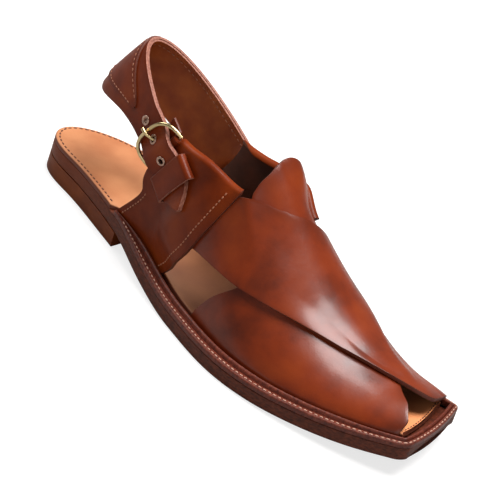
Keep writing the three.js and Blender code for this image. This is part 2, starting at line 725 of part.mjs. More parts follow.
// Eyelets: rings set in the strap, one pitch apart. The prong stands in the middle one.
const eyeletFirst = -19;
const eyelets = [0, 1, 2].map((k) => ({ a: eyeletFirst + k * eyeletPitch }));
const runLift = smoothColumn([...strapRun].reverse().map(({ a, lift }) => ({ at: a * strapTipLength, lift })), "lift");
const eyeletReach = 3;
function eyeletAxis(a) {
  const middle = strapLift + runLift(a);
  const lean = eyeletReach * (runLift(a + 1) - runLift(a - 1)) / 2;
  return { start: byBuckle(a + lean, 0, middle - eyeletReach), finish: byBuckle(a - lean, 0, middle + eyeletReach) };
}
function eyelet(a) {
  const tube = eyeletHole / 2 + 0.4;
  const flange = eyeletDiameter / 2;
  const top = strapLeather / 2 + gap;
  const profile = [
    new THREE.Vector2(eyeletHole / 2, -strapLeather / 2),
    new THREE.Vector2(tube, -strapLeather / 2),
    new THREE.Vector2(tube, top),
    new THREE.Vector2(flange, top),
    new THREE.Vector2(flange - 0.3, top + 0.5),
    new THREE.Vector2(eyeletHole / 2, top + 0.5),
    new THREE.Vector2(eyeletHole / 2, -strapLeather / 2),
  ];
  const ring = new THREE.LatheGeometry(profile, 16);
  const { start, finish } = eyeletAxis(a);
  const turn = new THREE.Quaternion().setFromUnitVectors(new THREE.Vector3(0, 1, 0), finish.clone().sub(start).normalize());
  return ring.applyQuaternion(turn).translate(...start.lerp(finish, 0.5).toArray());
}

// The keeper: a leather loop over the strap, stitched down to the quarter on both sides.
const keeperFrom = 9.3;
const keeperRoom = 2.2;
const keeperShift = 1.2;
function keeper() {
  const side = strapWidthFront / 2 + keeperRoom + keeperLeather;
  const top = strapLift + strapLeather / 2 + gap + 0.2;
  const foot = leather + gap;
  const profile = [
    { w: side, lift: foot },
    { w: side, lift: top },
    { w: side - keeperLeather * 0.6, lift: top + keeperLeather },
    { w: 0, lift: top + keeperLeather },
    { w: -side + keeperLeather * 0.6, lift: top + keeperLeather },
    { w: -side, lift: top },
    { w: -side, lift: foot },
    { w: -side + keeperLeather, lift: foot },
    { w: -side + keeperLeather, lift: top },
    { w: 0, lift: top },
    { w: side - keeperLeather, lift: top },
    { w: side - keeperLeather, lift: foot },
  ];
  const steps = 3;
  const rings = [];
  for (let k = 0; k <= steps; k++) {
    const a = keeperFrom + (keeperLength * k) / steps;
    rings.push(profile.map(({ w, lift }) => byBuckle(a, w + keeperShift, lift)));
  }
  return loft(rings, profile.map(({ w, lift }) => new THREE.Vector2(w, lift)));
}

// Materials, and the shoe put together. The group brings the origin under the middle of the heel.
const finish = (color, roughness, metalness = 0) => new THREE.MeshStandardMaterial({ color, roughness, metalness });
const soleLeather = finish(0x6e3420, 0.6);
const heelLeather = finish(0xa5582c, 0.5);
const weltLeather = finish(0x8a3f2b, 0.55);
const insoleLeather = finish(0xd08a58, 0.65);
const upperLeather = finish(0x93401f, 0.35);
const strapLeatherFinish = finish(0x8e4522, 0.4);
const brass = finish(0xd9c27a, 0.25, 1);
const agedMetal = finish(0xb9957a, 0.35, 1);

const chappal = new THREE.Group();
function addPiece(name, geometry, material) {
  const mesh = new THREE.Mesh(geometryOf(solid(geometry)), material);
  mesh.name = name;
  chappal.add(mesh);
}
addPiece("outsole", outsole(), soleLeather);
addPiece("heel", heel(), heelLeather);
addPiece("insole", insole(), insoleLeather);
addPiece("welt", welt(), weltLeather);
addPiece("upper", upper(), upperLeather);
addPiece("heel_strap", heelStrap(), strapLeatherFinish);
addPiece("keeper", keeper(), upperLeather);
addPiece("buckle_frame", buckle(), brass);
addPiece("buckle_prong", prong(), brass);
eyelets.forEach(({ a }, k) => addPiece(`eyelet_${k + 1}`, eyelet(a), agedMetal));
chappal.position.y = -heelSeat;

export default chappal;
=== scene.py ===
import math

import bpy
from mathutils import Matrix, Vector


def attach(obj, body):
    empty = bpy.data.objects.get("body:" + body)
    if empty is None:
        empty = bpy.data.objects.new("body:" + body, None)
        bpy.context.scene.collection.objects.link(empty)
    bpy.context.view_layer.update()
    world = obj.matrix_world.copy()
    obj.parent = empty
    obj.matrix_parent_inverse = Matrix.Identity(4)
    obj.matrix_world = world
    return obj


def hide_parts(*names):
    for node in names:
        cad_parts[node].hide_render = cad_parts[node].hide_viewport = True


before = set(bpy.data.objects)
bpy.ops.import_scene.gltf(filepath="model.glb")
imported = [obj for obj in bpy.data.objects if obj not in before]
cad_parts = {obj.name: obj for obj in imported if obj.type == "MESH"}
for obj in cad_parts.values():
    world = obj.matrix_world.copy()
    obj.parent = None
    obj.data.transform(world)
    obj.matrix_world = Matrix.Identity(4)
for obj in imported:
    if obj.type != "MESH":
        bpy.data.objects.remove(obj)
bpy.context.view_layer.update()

bpy.ops.object.select_all(action="DESELECT")

# The outsole is one layer of sole leather under the whole shoe, cut to the outline and skived to a
# slight round at its edge. It rises off the floor under the shank and again at the toe. Sizes are in
# millimetres, with Y from the back of the sole until a mesh is laid down.
MM = 0.001
UP = Vector((0, 0, 1))
heel_seat = 35.0
SEAT = Vector((0, heel_seat, 0))
sole_length = 290.0
ball_width = 98.0
heel_rounding = 72.0
outsole_thickness = 7.5
insole_thickness = 2.6
heel_lift = 10.4
toe_spring = 10.5
toe_slant = 11.0
toe_bow = 2.2
toe_corner = 4.0
heel_end = 0.12
toe_start = 0.86
slant_start = 0.75
bow_start = 0.9
gap = 0.3
shank_start = 0.2
shank_end = 0.5
spring_start = 0.66


def table(names, *rows):
    """A table's rows, each value under its column's name."""
    return [dict(zip(names.split(), row)) for row in rows]


outline_rows = table(
    "at half swing",
    (0.0, 0.31, 0.058),
    (0.12, 0.281, -0.007),
    (0.25, 0.295, 0.02),
    (0.38, 0.336, 0.096),
    (0.5, 0.408, 0.114),
    (0.62, 0.488, 0.091),
    (0.72, 0.499, 0.057),
    (0.82, 0.44, 0.036),
    (0.91, 0.36, 0.01),
    (1.0, 0.27, -0.045),
)


def column(rows, name):
    """A column of a table as a smooth curve over its "at" column."""
    at = [row["at"] for row in rows]
    value = [row[name] for row in rows]
    end = len(rows) - 1
    slopes = []
    for i in range(end + 1):
        before = max(i - 1, 0)
        after = min(i + 1, end)
        slopes.append((value[after] - value[before]) / (at[after] - at[before]))

    def curve(place):
        i = 0
        while i < end - 1 and at[i + 1] < place:
            i += 1
        span = at[i + 1] - at[i]
        u = min(max((place - at[i]) / span, 0.0), 1.0)
        rise = value[i + 1] - value[i]
        start = slopes[i] * span
        finish = slopes[i + 1] * span
        bend = (3 * rise - 2 * start - finish) * u**2
        return value[i] + start * u + bend + (start + finish - 2 * rise) * u**3

    return curve


def ramp(value, low, high):
    """0 below low, 1 above high, and a soft step between."""
    u = min(max((value - low) / (high - low), 0.0), 1.0)
    return u * u * (3 - 2 * u)


def blend(start, finish, share):
    """The value or point a share of the way from start to finish."""
    return start + (finish - start) * share


half_share = column(outline_rows, "half")
swing_share = column(outline_rows, "swing")
tread_height = outsole_thickness + gap + insole_thickness


def rim_height(s):
    """Height of the top of the sole's rim above the floor, at a share s of the length."""
    spring = max(0.0, (s - spring_start) / (1 - spring_start))
    return tread_height + heel_lift * (1 - ramp(s, shank_start, shank_end)) + toe_spring * spring**2


def feather_height(s):
    """Height of the insole's underside, where the upper's wall begins."""
    return rim_height(s) - insole_thickness


def plan_point(s, across, inset, height):
    """A point of the sole's plan: across is 1 at the outer edge and -1 at the inner one."""
    along = s * sole_length + inset * (1 - ramp(s, 0, heel_end) - ramp(s, toe_start, 1))
    place = along / sole_length
    side = -1 if across < 0 else 1
    step = 0.004
    ahead = (side * half_share(place + step) + swing_share(place + step)) * ball_width
    behind = (side * half_share(place - step) + swing_share(place - step)) * ball_width
    slope = (ahead - behind) / (2 * step * sole_length)
    corner = max(toe_corner - inset, gap)
    back = min(max((along - inset) / (heel_rounding - inset), 0.0), 1.0)
    front = min(max((sole_length - inset - along) / corner, 0.0), 1.0)
    cut = corner * (1 - math.sqrt(1 - (1 - front) ** 2))
    heel_round = math.sqrt(1 - (1 - back) ** 2)
    half = (half_share(place) * ball_width - inset * math.hypot(1, slope)) * heel_round - cut
    slant = toe_slant * ramp(s, slant_start, 1) * (1 - across) * 0.5
    bow = toe_bow * ramp(s, bow_start, 1) * (1 - across**2)
    return Vector((swing_share(place) * ball_width + across * half, along - slant + bow, height))


def laid_grid(name, across, along, place):
    """A grid primitive laid down by place(u, v), a point of the shoe in millimetres."""
    bpy.ops.mesh.primitive_grid_add(x_subdivisions=across, y_subdivisions=along, size=2)
    piece = bpy.context.object
    piece.name = name
    piece.data.name = name
    for vertex in piece.data.vertices:
        spot = place((vertex.co.x + 1) / 2, (vertex.co.y + 1) / 2)
        vertex.co = (spot - SEAT) * MM
    return piece


def weld(angle, close_ends=False):
    """Joins the active grid's edges where they meet, and smooths its turns below an angle."""
    bpy.ops.object.mode_set(mode="EDIT")
    bpy.ops.mesh.select_all(action="SELECT")
    bpy.ops.mesh.remove_doubles(threshold=0.00001)
    bpy.ops.mesh.select_all(action="SELECT")
    if close_ends:
        bpy.ops.mesh.fill_holes(sides=0)
        bpy.ops.mesh.select_all(action="SELECT")
    bpy.ops.mesh.normals_make_consistent(inside=False)
    bpy.ops.object.mode_set(mode="OBJECT")
    bpy.ops.object.shade_smooth_by_angle(angle=math.radians(angle))


def lofted(name, rings):
    """Closed rings of points, skinned one to the next and closed at both ends."""
    count = len(rings) - 1
    size = len(rings[0])
    piece = laid_grid(name, count, size, lambda u, v: rings[round(u * count)][round(v * size) % size])
    weld(38, close_ends=True)
    return piece


def circle(count, radius, point):
    """Points round a circle, each from point(x, y)."""
    turns = [2 * math.pi * k / count for k in range(count)]
    return [point(radius * math.cos(turn), radius * math.sin(turn)) for turn in turns]


def stations(start, stop):
    """Places along the sole, closer together round the heel and at the toe's corners."""
    places = [heel_rounding * (1 - math.cos(math.pi / 2 * k / 26)) for k in range(1, 27)]
    straight = sole_length - heel_rounding - toe_corner
    places += [heel_rounding + straight * k / 70 for k in range(1, 71)]
    places += [sole_length - toe_corner * (1 - math.sin(math.pi / 2 * k / 8)) for k in range(1, 9)]
    inside = [p / sole_length for p in places if start + 0.001 < p / sole_length < stop - 0.0002]
    return [start] + inside + [stop]


def rounded_edge(top, bottom, top_round, bottom_round, inset=0.0):
    """The (inset, height) steps down a layer's side, with both corners rounded."""
    turns = [math.pi / 2 * k / 4 for k in range(5)]
    steps = [(inset + top_round * (1 - math.sin(t)), top - top_round * (1 - math.cos(t))) for t in turns]
    for t in turns:
        steps.append((inset + bottom_round * (1 - math.cos(t)), bottom + bottom_round * (1 - math.sin(t))))
    return steps


def sole_layer(name, start, stop, edge_at):
    """A layer of the sole, from the steps of its side at each station."""
    rings = []
    for s in stations(start, stop):
        edge = edge_at(s)
        outer = [plan_point(s, 1, inset, height) for inset, height in edge]
        inner = [plan_point(s, -1, inset, height) for inset, height in reversed(edge)]
        below = [plan_point(s, across / 4, *edge[-1]) for across in (3, 2, 1, 0, -1, -2, -3)]
        above = [plan_point(s, across / 4, *edge[0]) for across in (-3, -2, -1, 0, 1, 2, 3)]
        rings.append(outer + below + inner + above)
    return lofted(name, rings)


def srgb(code):
    """An sRGB hex colour as linear red, green, blue and alpha."""
    channels = []
    for k in (0, 2, 4):
        value = int(code[k:k + 2], 16) / 255
        channels.append(value / 12.92 if value <= 0.04045 else ((value + 0.055) / 1.055) ** 2.4)
    return (*channels, 1.0)


class Paint:
    """A material's nodes. Its textures lie in the object's own space, with cells given in millimetres."""

    def __init__(self, name):
        self.material = bpy.data.materials.new(name)
        self.material.use_nodes = True
        self.shader = self.material.node_tree.nodes["Principled BSDF"]
        self.spot = self.node("ShaderNodeTexCoord", {}).outputs["Object"]

    def set_inputs(self, target, values):
        """Gives a node's inputs a value each, or another node's output."""
        for name, value in values.items():
            if isinstance(value, bpy.types.NodeSocket):
                self.material.node_tree.links.new(value, target.inputs[name])
            else:
                target.inputs[name].default_value = value

    def node(self, kind, inputs, **settings):
        made = self.material.node_tree.nodes.new(kind)
        for name, value in settings.items():
            setattr(made, name, value)
        self.set_inputs(made, inputs)
        return made

    def stretched(self, *scale):
        """The object's space, stretched."""
        return self.node("ShaderNodeMapping", {"Vector": self.spot, "Scale": scale}).outputs["Vector"]

    def noise(self, cell, detail, vector=None, **inputs):
        values = {"Vector": vector or self.spot, "Scale": 1000 / cell, "Detail": detail, **inputs}
        return self.node("ShaderNodeTexNoise", values).outputs["Fac"]

    def tones(self, amount, *stops):
        """A colour ramp over an amount. A stop is a position and an sRGB code or a linear colour."""
        made = self.node("ShaderNodeValToRGB", {"Fac": amount})
        elements = made.color_ramp.elements
        stops = [(position, srgb(tone) if isinstance(tone, str) else tone) for position, tone in stops]
        for element, (position, tone) in zip(elements, (stops[0], stops[-1])):
            element.position = position
            element.color = tone
        for position, tone in stops[1:-1]:
            elements.new(position).color = tone
        return made.outputs["Color"]

    def spread(self, value, low, high, start=0.0, stop=1.0):
        """Maps a value between start and stop to one between low and high."""
        values = {"Value": value, "From Min": start, "From Max": stop, "To Min": low, "To Max": high}
        return self.node("ShaderNodeMapRange", values).outputs["Result"]

    def part_of(self, vector, axis):
        return self.node("ShaderNodeSeparateXYZ", {"Vector": vector}).outputs[axis]

    def mixed(self, factor, first, second, **settings):
        values = {"Factor": factor, "A": first, "B": second}
        return self.node("ShaderNodeMix", values, data_type="RGBA", **settings).outputs["Result"]

    def bump(self, height, strength, distance, **inputs):
        values = {"Height": height, "Strength": strength, "Distance": distance, **inputs}
        return self.node("ShaderNodeBump", values).outputs["Normal"]

    def finish(self, values):
        """Sets the surface, and returns the material."""
        self.set_inputs(self.shader, values)
        return self.material


def mottled(name, cell, detail, dark, light, roughness, metallic=0.0):
    """A material mottled between two tones, with cells of so many millimetres."""
    paint = Paint(name)
    tone = paint.tones(paint.noise(cell, detail), dark, light)
    return paint.finish({"Base Color": tone, "Roughness": roughness, "Metallic": metallic})


def assign(piece, slot, *nodes):
    """Attaches a piece to the root body, and hides the nodes that it stands for. The slot is not used."""
    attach(piece, "root")
    if nodes:
        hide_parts(*nodes)


def dress(piece, material, slot, *nodes):
    """Gives a piece its one material, and assigns it."""
    piece.data.materials.append(material)
    assign(piece, slot, *nodes)


# Sole leather edge: stained and waxed end grain, so it is dark, a little rough, and broken up by short
# fibres that lie along the layer.
paint = Paint("stained_sole_leather")
sole_fibres = paint.noise(1.6, 5, paint.stretched(1, 0.45, 1.6), Roughness=0.62)
sole_tone = paint.tones(sole_fibres, (0.32, "381407"), (0.72, "70321b"))
# The shank and heel are burnished browner than the forefoot.
shank_front = 0.045
to_heel = paint.spread(paint.part_of(paint.spot, "Y"), 0.0, 0.72, shank_front, 0.0)
sole_leather = paint.finish({
    "Base Color": paint.mixed(to_heel, sole_tone, srgb("783410")),
    "Roughness": paint.spread(paint.noise(24, 3), 0.42, 0.6),
    "Normal": paint.bump(sole_fibres, 0.35, 0.0005),
    "Coat Weight": 0.05,
    "Coat Roughness": 0.35,
    "Specular IOR Level": 0.25,
})

back_end = 0.0004


def outsole_edge(s):
    top = feather_height(s) - gap
    return rounded_edge(top, top - outsole_thickness, 0.7, 1.0)


outsole = sole_layer("outsole_leather", back_end, 1, outsole_edge)
dress(outsole, sole_leather, "sole_leather", "outsole")

# The heel is a lift of stacked leather under the rear of the outsole, glued and pinned, with its side
# sanded flush and burnished with hot wax to an even orange brown. Its breast is cut square.
breast_distance = 78.0
paint = Paint("burnished_heel_leather")
heel_fibres = paint.noise(1.8, 4, paint.stretched(0.35, 0.35, 2.2))
heel_leather = paint.finish({
    "Base Color": paint.tones(paint.noise(14, 4), (0.3, "602507"), (0.75, "7e3b0e")),
    "Normal": paint.bump(heel_fibres, 0.25, 0.0004),
    "Roughness": 0.46,
    "Specular IOR Level": 0.2,
    "Coat Weight": 0.08,
    "Coat Roughness": 0.3,
})


def heel_edge(s):
    top = feather_height(s) - outsole_thickness - 2 * gap
    return rounded_edge(top, 0, 0.25, 0.9)


heel = sole_layer("heel_lift", back_end, breast_distance / sole_length, heel_edge)
dress(heel, heel_leather, "heel_leather", "heel")

# The insole is a tan vegetable-tanned board, out to the sole's edge behind the quarters, where a row of
# stitches holds it down, and inside the upper ahead of them. It stays bare of any stamp.
insole_step = 0.236
leather = 2.2
seam = 0.5
welt_width = 7.4
rear_inset = leather + seam + 0.4
toe_trim = 2.6
widening = (0.22, 0.38)


def feather_inset(s):
    """Distance from the sole's edge in to the upper's inner face."""
    full = welt_width + seam + leather
    return rear_inset + (full - rear_inset) * ramp(s, *widening) - toe_trim * ramp(s, toe_start, 1)


paint = Paint("tan_insole_leather")
insole_tone = paint.tones(paint.noise(30, 5), (0.3, "a8633a"), (0.72, "cc8a5c"))
# The middle of the insole, under the upper, is darkened with painted shade, and the toe end is lightened
# with painted light; the bare heel end keeps its own tone.
sole_back = -heel_seat * MM
sole_front = (sole_length - heel_seat) * MM
along_share = paint.spread(paint.part_of(paint.spot, "Y"), 0, 1, sole_back, sole_front)
unshaded = (1, 1, 1, 1)
painted_shade = (0.4, 0.33, 0.23, 1)
painted_light = (1.6, 1.55, 1.5, 1)
painted_shade_and_light = paint.tones(along_share, (0.3, unshaded), (0.42, painted_shade), (0.86, painted_shade), (0.94, painted_light))
shaded_insole_tone = paint.mixed(1.0, insole_tone, painted_shade_and_light, blend_type="MULTIPLY")
# The side of the board is burnished brown where it meets the light at the edge.
facing = paint.node("ShaderNodeNewGeometry", {}).outputs["Normal"]
on_top = paint.spread(paint.part_of(facing, "Z"), 0, 1, 0.35, 0.9)
insole_leather = paint.finish({
    "Base Color": paint.mixed(on_top, srgb("6b3018"), shaded_insole_tone),
    "Normal": paint.bump(paint.noise(1.1, 3), 0.2, 0.0003),
    "Roughness": 0.55,
})


def insole_edge(s):
    inset = 0.0 if s < insole_step else feather_inset(s) + seam
    return rounded_edge(rim_height(s), feather_height(s), 0.9, 0.2, inset)


insole = sole_layer("insole_board", back_end, 1, insole_edge)
dress(insole, insole_leather, "insole_leather", "insole")

# Stitches of waxed linen thread. One stitch is modelled and copied along each row, its ends sunk into
# the leather, and each row is joined into one mesh.
thread = mottled("waxed_linen_thread", 1.5, 2, (0, "9a6450"), (1, "d2aa94"), 0.5)
brown_thread = mottled("brown_linen_thread", 1.5, 2, (0, "85452a"), (1, "c0805e"), 0.5)
dark_thread = Paint("dark_linen_thread").finish({"Base Color": srgb("5a2a14"), "Roughness": 0.55})
# The pitch, length, width and height of each kind of stitch.
stitches = {
    "insole": (3.3, 2.4, 1.0, 0.6),
    "toe": (2.4, 1.6, 0.7, 0.5),
    "welt": (3.0, 2.2, 0.8, 0.7),
    "quarter": (2.5, 1.8, 0.85, 0.6),
    "overlay": (2.9, 2.0, 0.7, 0.5),
    "lining": (3.0, 2.1, 0.7, 0.45),
    "seam": (2.6, 1.9, 0.85, 0.6),
}


def stitch_row(name, route, kind, material, slot):
    """Copies one kind of stitch along route, a list of (point, outward direction) in millimetres."""
    bpy.ops.mesh.primitive_uv_sphere_add(segments=8, ring_count=6, radius=0.5)
    pattern = bpy.context.object
    bpy.ops.object.shade_smooth()
    pitch, *size = stitches[kind]
    stretch = Matrix.Diagonal((*size, 1))
    copies = []
    walked = pitch / 2
    for (start, out), (finish, _) in zip(route, route[1:]):
        run = finish - start
        while walked < run.length:
            forward = run.normalized()
            up = (out - forward * out.dot(forward)).normalized()
            side = up.cross(forward)
            middle = Matrix.Translation(start + forward * walked - SEAT)
            turn = Matrix((forward, side, up)).transposed().to_4x4()
            made = pattern.copy()
            made.data = pattern.data.copy()
            made.data.transform(Matrix.Scale(MM, 4) @ middle @ turn @ stretch)
            bpy.context.collection.objects.link(made)
            copies.append(made)
            walked += pitch
        walked -= run.length
    bpy.data.objects.remove(pattern)
    bpy.ops.object.select_all(action="DESELECT")
    for made in copies:
        made.select_set(True)
    bpy.context.view_layer.objects.active = copies[0]
    bpy.ops.object.join()
    row = bpy.context.object
    row.name = name
    row.data.name = name
    dress(row, material, slot)


stitch_rise = 0.05
insole_stitch_inset = 2.2
insole_stitch_end = insole_step - 0.008
route = []
for k in range(-60, 61):
    s = insole_stitch_end * abs(k / 60) ** 2.2
    side = 1 if k > 0 else -1
    point = plan_point(s, side, insole_stitch_inset, rim_height(s) + stitch_rise)
    route.append((point, UP))
stitch_row("insole_stitches", route, "insole", dark_thread, "insole_leather")

toe_stitch_back = 1.6
toe_stitch_inset = feather_inset(1) + seam + toe_stitch_back
route = []
for k in range(25):
    point = plan_point(1, blend(-0.9, 0.9, k / 24), toe_stitch_inset, rim_height(1) + stitch_rise)
    route.append((point, UP))
stitch_row("toe_stitches", route, "toe", dark_thread, "insole_leather")

# The welt is a leather strip stitched down round the forefoot. Its flat rim carries a row of pale
# stitches, then come a groove and a rounded bead that is drawn up against the upper.
bead_height = 1.7
welt_from = 0.25
welt_profile = [
    (0.5, -insole_thickness), (0.0, -insole_thickness), (0.0, -1.2), (0.012, -0.6), (0.04, -0.22),
    (0.085, 0.0), (0.2, 0.06), (0.36, 0.05), (0.48, 0.0), (0.53, -0.25), (0.57, -0.85), (0.61, -0.35),
    (0.645, 0.55), (0.69, 1.2), (0.75, 1.58), (0.81, bead_height), (0.87, 1.6), (0.925, 1.2),
    (0.965, 0.6), (1.0, -0.2), (1.0, -insole_thickness),
]
welt_route = [(s, 1.0) for s in stations(welt_from, 1)]
welt_route += [(1.0, 1 - k / 8) for k in range(1, 16)]
welt_route += [(s, -1.0) for s in reversed(stations(welt_from, 1))]
welt_rings = []
for s, across in welt_route:
    width = feather_inset(s) - leather - seam
    shrink = width / welt_width
    ring = []
    for share, up in welt_profile:
        lift = up * shrink if up > 0 else up
        ring.append(plan_point(s, across, share * width, rim_height(s) + lift))
    welt_rings.append(ring)
welt = lofted("stitched_welt", welt_rings)
paint = Paint("waxed_welt_leather")
welt_grain = paint.noise(1.7, 4, Roughness=0.6)
welt_leather = paint.finish({
    "Base Color": paint.tones(welt_grain, (0.3, "42160d"), (0.75, "7a3826")),
    "Normal": paint.bump(welt_grain, 0.3, 0.0004),
    "Roughness": 0.4,
    "Coat Weight": 0.12,
    "Coat Roughness": 0.3,
    "Specular IOR Level": 0.3,
})
dress(welt, welt_leather, "welt_leather", "welt")

welt_stitch_share = 0.24
welt_stitch_from = 0.27
welt_stitch_rise = 0.12
route = []
for s, across in welt_route:
    if s > welt_stitch_from:
        width = feather_inset(s) - leather - seam
        point = plan_point(s, across, welt_stitch_share * width, rim_height(s) + welt_stitch_rise)
        route.append((point, UP))
stitch_row("welt_stitches", route, "welt", thread, "welt_leather")

# The last is the form that the upper is pulled over. Each part of the upper is a sheet laid on it,
# between edges that a table gives, and lifted where it crosses what lies below.
instep_height = 83.0
wall_turn = 0.02
last_rows = table(
    "at height lean square",
    (0.2, 2.05, 0.0, 2.6),
    (0.3, 1.8, 0.0, 2.5),
    (0.38, 1.45, 0.0, 2.4),
    (0.45, 1.2, 0.03, 2.15),
    (0.52, 0.98, 0.062, 1.9),
    (0.6, 0.72, 0.058, 1.8),
    (0.7, 0.455, 0.055, 1.75),
    (0.8, 0.28, 0.052, 1.75),
    (0.9, 0.205, 0.049, 1.8),
    (1.0, 0.165, 0.045, 1.9),
)
ridge_share = column(last_rows, "height")
lean_share = column(last_rows, "lean")
squareness = column(last_rows, "square")


def last_point(s, t):
    """A point of the last. t runs from the outer feather line at 0 over the ridge to 1."""
    inset = feather_inset(s)
    outer = plan_point(s, 1, inset, 0)
    inner = plan_point(s, -1, inset, 0)
    power = 2 / squareness(s)
    turn = math.cos(math.pi * t)
    a = math.copysign(abs(turn) ** power, turn)
    b = max(0.0, math.sin(math.pi * t)) ** power
    plan = blend(outer, inner, (1 - a) / 2)
    wall = insole_thickness * min(1, t / wall_turn, (1 - t) / wall_turn)
    plan.x -= lean_share(s) * ball_width * b
    plan.z = feather_height(s) + wall + (ridge_share(s) * instep_height - insole_thickness) * b
    return plan


def last_normal(s, t):
    """The last's outward direction."""
    step = 0.002
    along = last_point(s + step, t) - last_point(s - step, t)
    round_foot = last_point(s, min(t + step, 1)) - last_point(s, max(t - step, 0))
    return along.cross(round_foot).normalized()


def on_last(s, t, lift):
    """A point lifted off the last."""
    return last_point(s, t) + last_normal(s, t) * lift


def turn_at(s, height, side):
    """The turn t at a height above the feather line, on the outer side (1) or the inner one (-1)."""
    rise = ridge_share(s) * instep_height - insole_thickness
    power = 2 / squareness(s)
    low, high = 0.0, 0.5
    for _ in range(30):
        t = (low + high) / 2
        if insole_thickness * min(1, t / wall_turn) + rise * math.sin(math.pi * t) ** power < height:
            low = t
        else:
            high = t
    return low if side > 0 else 1 - low


# Upper leather: full grain cow hide, drum dyed cognac, waxed and polished, so it has broad soft
# highlights over a fine pore and a darker burnish near its cut edges.
def polished_hide(name, burnish, hide, bloom, roughness, coat, coat_roughness):
    """Polished hide, darker within a few millimetres of a cut edge."""
    paint = Paint(name)
    cloud = paint.noise(26, 5, Roughness=0.55)
    pull = paint.noise(7, 3)
    tone = paint.tones(cloud, (0.28, burnish), (0.5, hide), (0.74, bloom))
    edge = paint.node("ShaderNodeAttribute", {}, attribute_name="edge_mm").outputs["Fac"]
    pores = paint.bump(paint.noise(0.9, 2), 0.1, 0.0002)
    return paint.finish({
        "Base Color": paint.mixed(paint.spread(edge, 0.5, 0.0, 0.0, 6.0), tone, srgb(burnish)),
        "Roughness": paint.spread(pull, roughness - 0.05, roughness + 0.07),
        "Normal": paint.bump(pull, 0.16, 0.0007, Normal=pores),
        "Specular IOR Level": coat,
        "Coat Weight": coat,
        "Coat Roughness": coat_roughness,
    })


upper_leather = polished_hide("polished_cognac_hide", "541a04", "762806", "86330a", 0.33, 0.3, 0.18)
quarter_leather = polished_hide("waxed_quarter_hide", "541a04", "722907", "84350a", 0.42, 0.1, 0.26)

# The cut edge of the heel strap and the keeper is bare and pale, where the knife went through the undyed
# middle. On the upper and the overlay it is painted dark brown, partly for its stain and burnish and partly
# as painted shade on edges that lie in shade. The upper's lining is thin unpolished calf, painted a very
# dark brown as painted shade for the shade inside the shoe.
cut_edge = mottled("bare_cut_edge", 1.2, 3, (0.25, "6e3424"), (0.8, "b0745e"), 0.6)
stained_and_shaded_edge = mottled("burnished_and_shaded_cut_edge", 1.2, 3, (0, "3a1408"), (1, "7a3a24"), 0.5)
lining_painted_shade = mottled("calf_lining_painted_shade", 9, 4, (0, "2a0e05"), (1, "5c2813"), 0.7)


def hide_sheet(name, across, along, place, size, outside, edge, inside, round_by=0.55, thick=leather):
    """A sheet of hide about its middle surface, with rounded cut edges. size is its length both ways."""
    piece = laid_grid(name, across, along, place)
    distance = piece.data.attributes.new("edge_mm", "FLOAT", "POINT")
    columns = across + 1
    for index, vertex in enumerate(piece.data.vertices):
        u = (index % columns) / across
        v = (index // columns) / along
        distance.data[index].value = min(min(u, 1 - u) * size[0], min(v, 1 - v) * size[1])
    for material in (outside, edge, inside):
        piece.data.materials.append(material)
    wall = piece.modifiers.new("wall", "SOLIDIFY")
    wall.thickness = thick * MM
    wall.offset = 0
    wall.material_offset_rim = 1
    wall.material_offset = 2
    cut = piece.modifiers.new("cut", "BEVEL")
    cut.width = round_by * MM
    cut.segments = 3
    cut.limit_method = "ANGLE"
    cut.angle_limit = math.radians(55)
    for modifier in ("wall", "cut"):
        bpy.ops.object.modifier_apply(modifier=modifier)
    bpy.ops.object.shade_smooth_by_angle(angle=math.radians(40))
    return piece


# The strap below runs from the outer toe up over the forefoot to the inner instep, under the strap on
# top. Its rear edge comes out at the throat as a rounded tab that stands a little off the foot.
under_rows = table(
    "at rear front",
    (0.0, 0.525, 0.993),
    (0.084, 0.553, 0.995),
    (0.167, 0.587, 0.994),
    (0.22, 0.598, 0.987),
    (0.27, 0.575, 0.979),
    (0.31, 0.52, 0.97),
    (0.35, 0.51, 0.955),
    (0.42, 0.509, 0.925),
    (0.5, 0.503, 0.885),
    (0.56, 0.498, 0.855),
    (0.62, 0.503, 0.81),
    (0.68, 0.52, 0.745),
    (0.74, 0.53, 0.68),
    (0.8, 0.5, 0.615),
    (0.86, 0.46, 0.535),
    (0.92, 0.42, 0.455),
    (0.97, 0.385, 0.42),
)
over_rows = table(
    "at rear front",
    (0.03, 0.385, 0.42),
    (0.092, 0.415, 0.461),
    (0.142, 0.44, 0.537),
    (0.176, 0.455, 0.587),
    (0.226, 0.475, 0.646),
    (0.275, 0.494, 0.697),
    (0.342, 0.528, 0.77),
    (0.392, 0.553, 0.83),
    (0.42, 0.562, 0.895),
    (0.45, 0.572, 0.965),
    (0.5, 0.581, 0.995),
    (0.6, 0.595, 1.0),
    (0.7, 0.6, 1.0),
    (0.8, 0.595, 1.0),
    (0.9, 0.565, 0.995),
    (1.0, 0.53, 0.985),
)
# Soft troughs and ridges where the hide is pulled: each runs from one (s, t) to another.
creases = table(
    "from to width lift",
    ((0.5, 0.31), (0.6, 0.37), 9.0, -0.35),
    ((0.53, 0.25), (0.64, 0.3), 9.0, 0.3),
    ((0.62, 0.2), (0.72, 0.27), 8.0, -0.3),
    ((0.7, 0.36), (0.71, 0.64), 7.0, -0.25),
    ((0.745, 0.4), (0.74, 0.6), 6.0, -0.2),
    ((0.52, 0.56), (0.56, 0.66), 7.0, -0.4),
)
girth = 160.0


def crease_lift(s, t):
    """The creases' rise or fall at a place on the last."""
    lift = 0.0
    spot = Vector((s * sole_length, t * girth))
    for row in creases:
        start = Vector((row["from"][0] * sole_length, row["from"][1] * girth))
        run = Vector((row["to"][0] * sole_length, row["to"][1] * girth)) - start
        share = min(max((spot - start).dot(run) / run.length_squared, 0.0), 1.0)
        away = (spot - start - run * share).length / row["width"]
        lift += row["lift"] * math.exp(-away * away)
    return lift


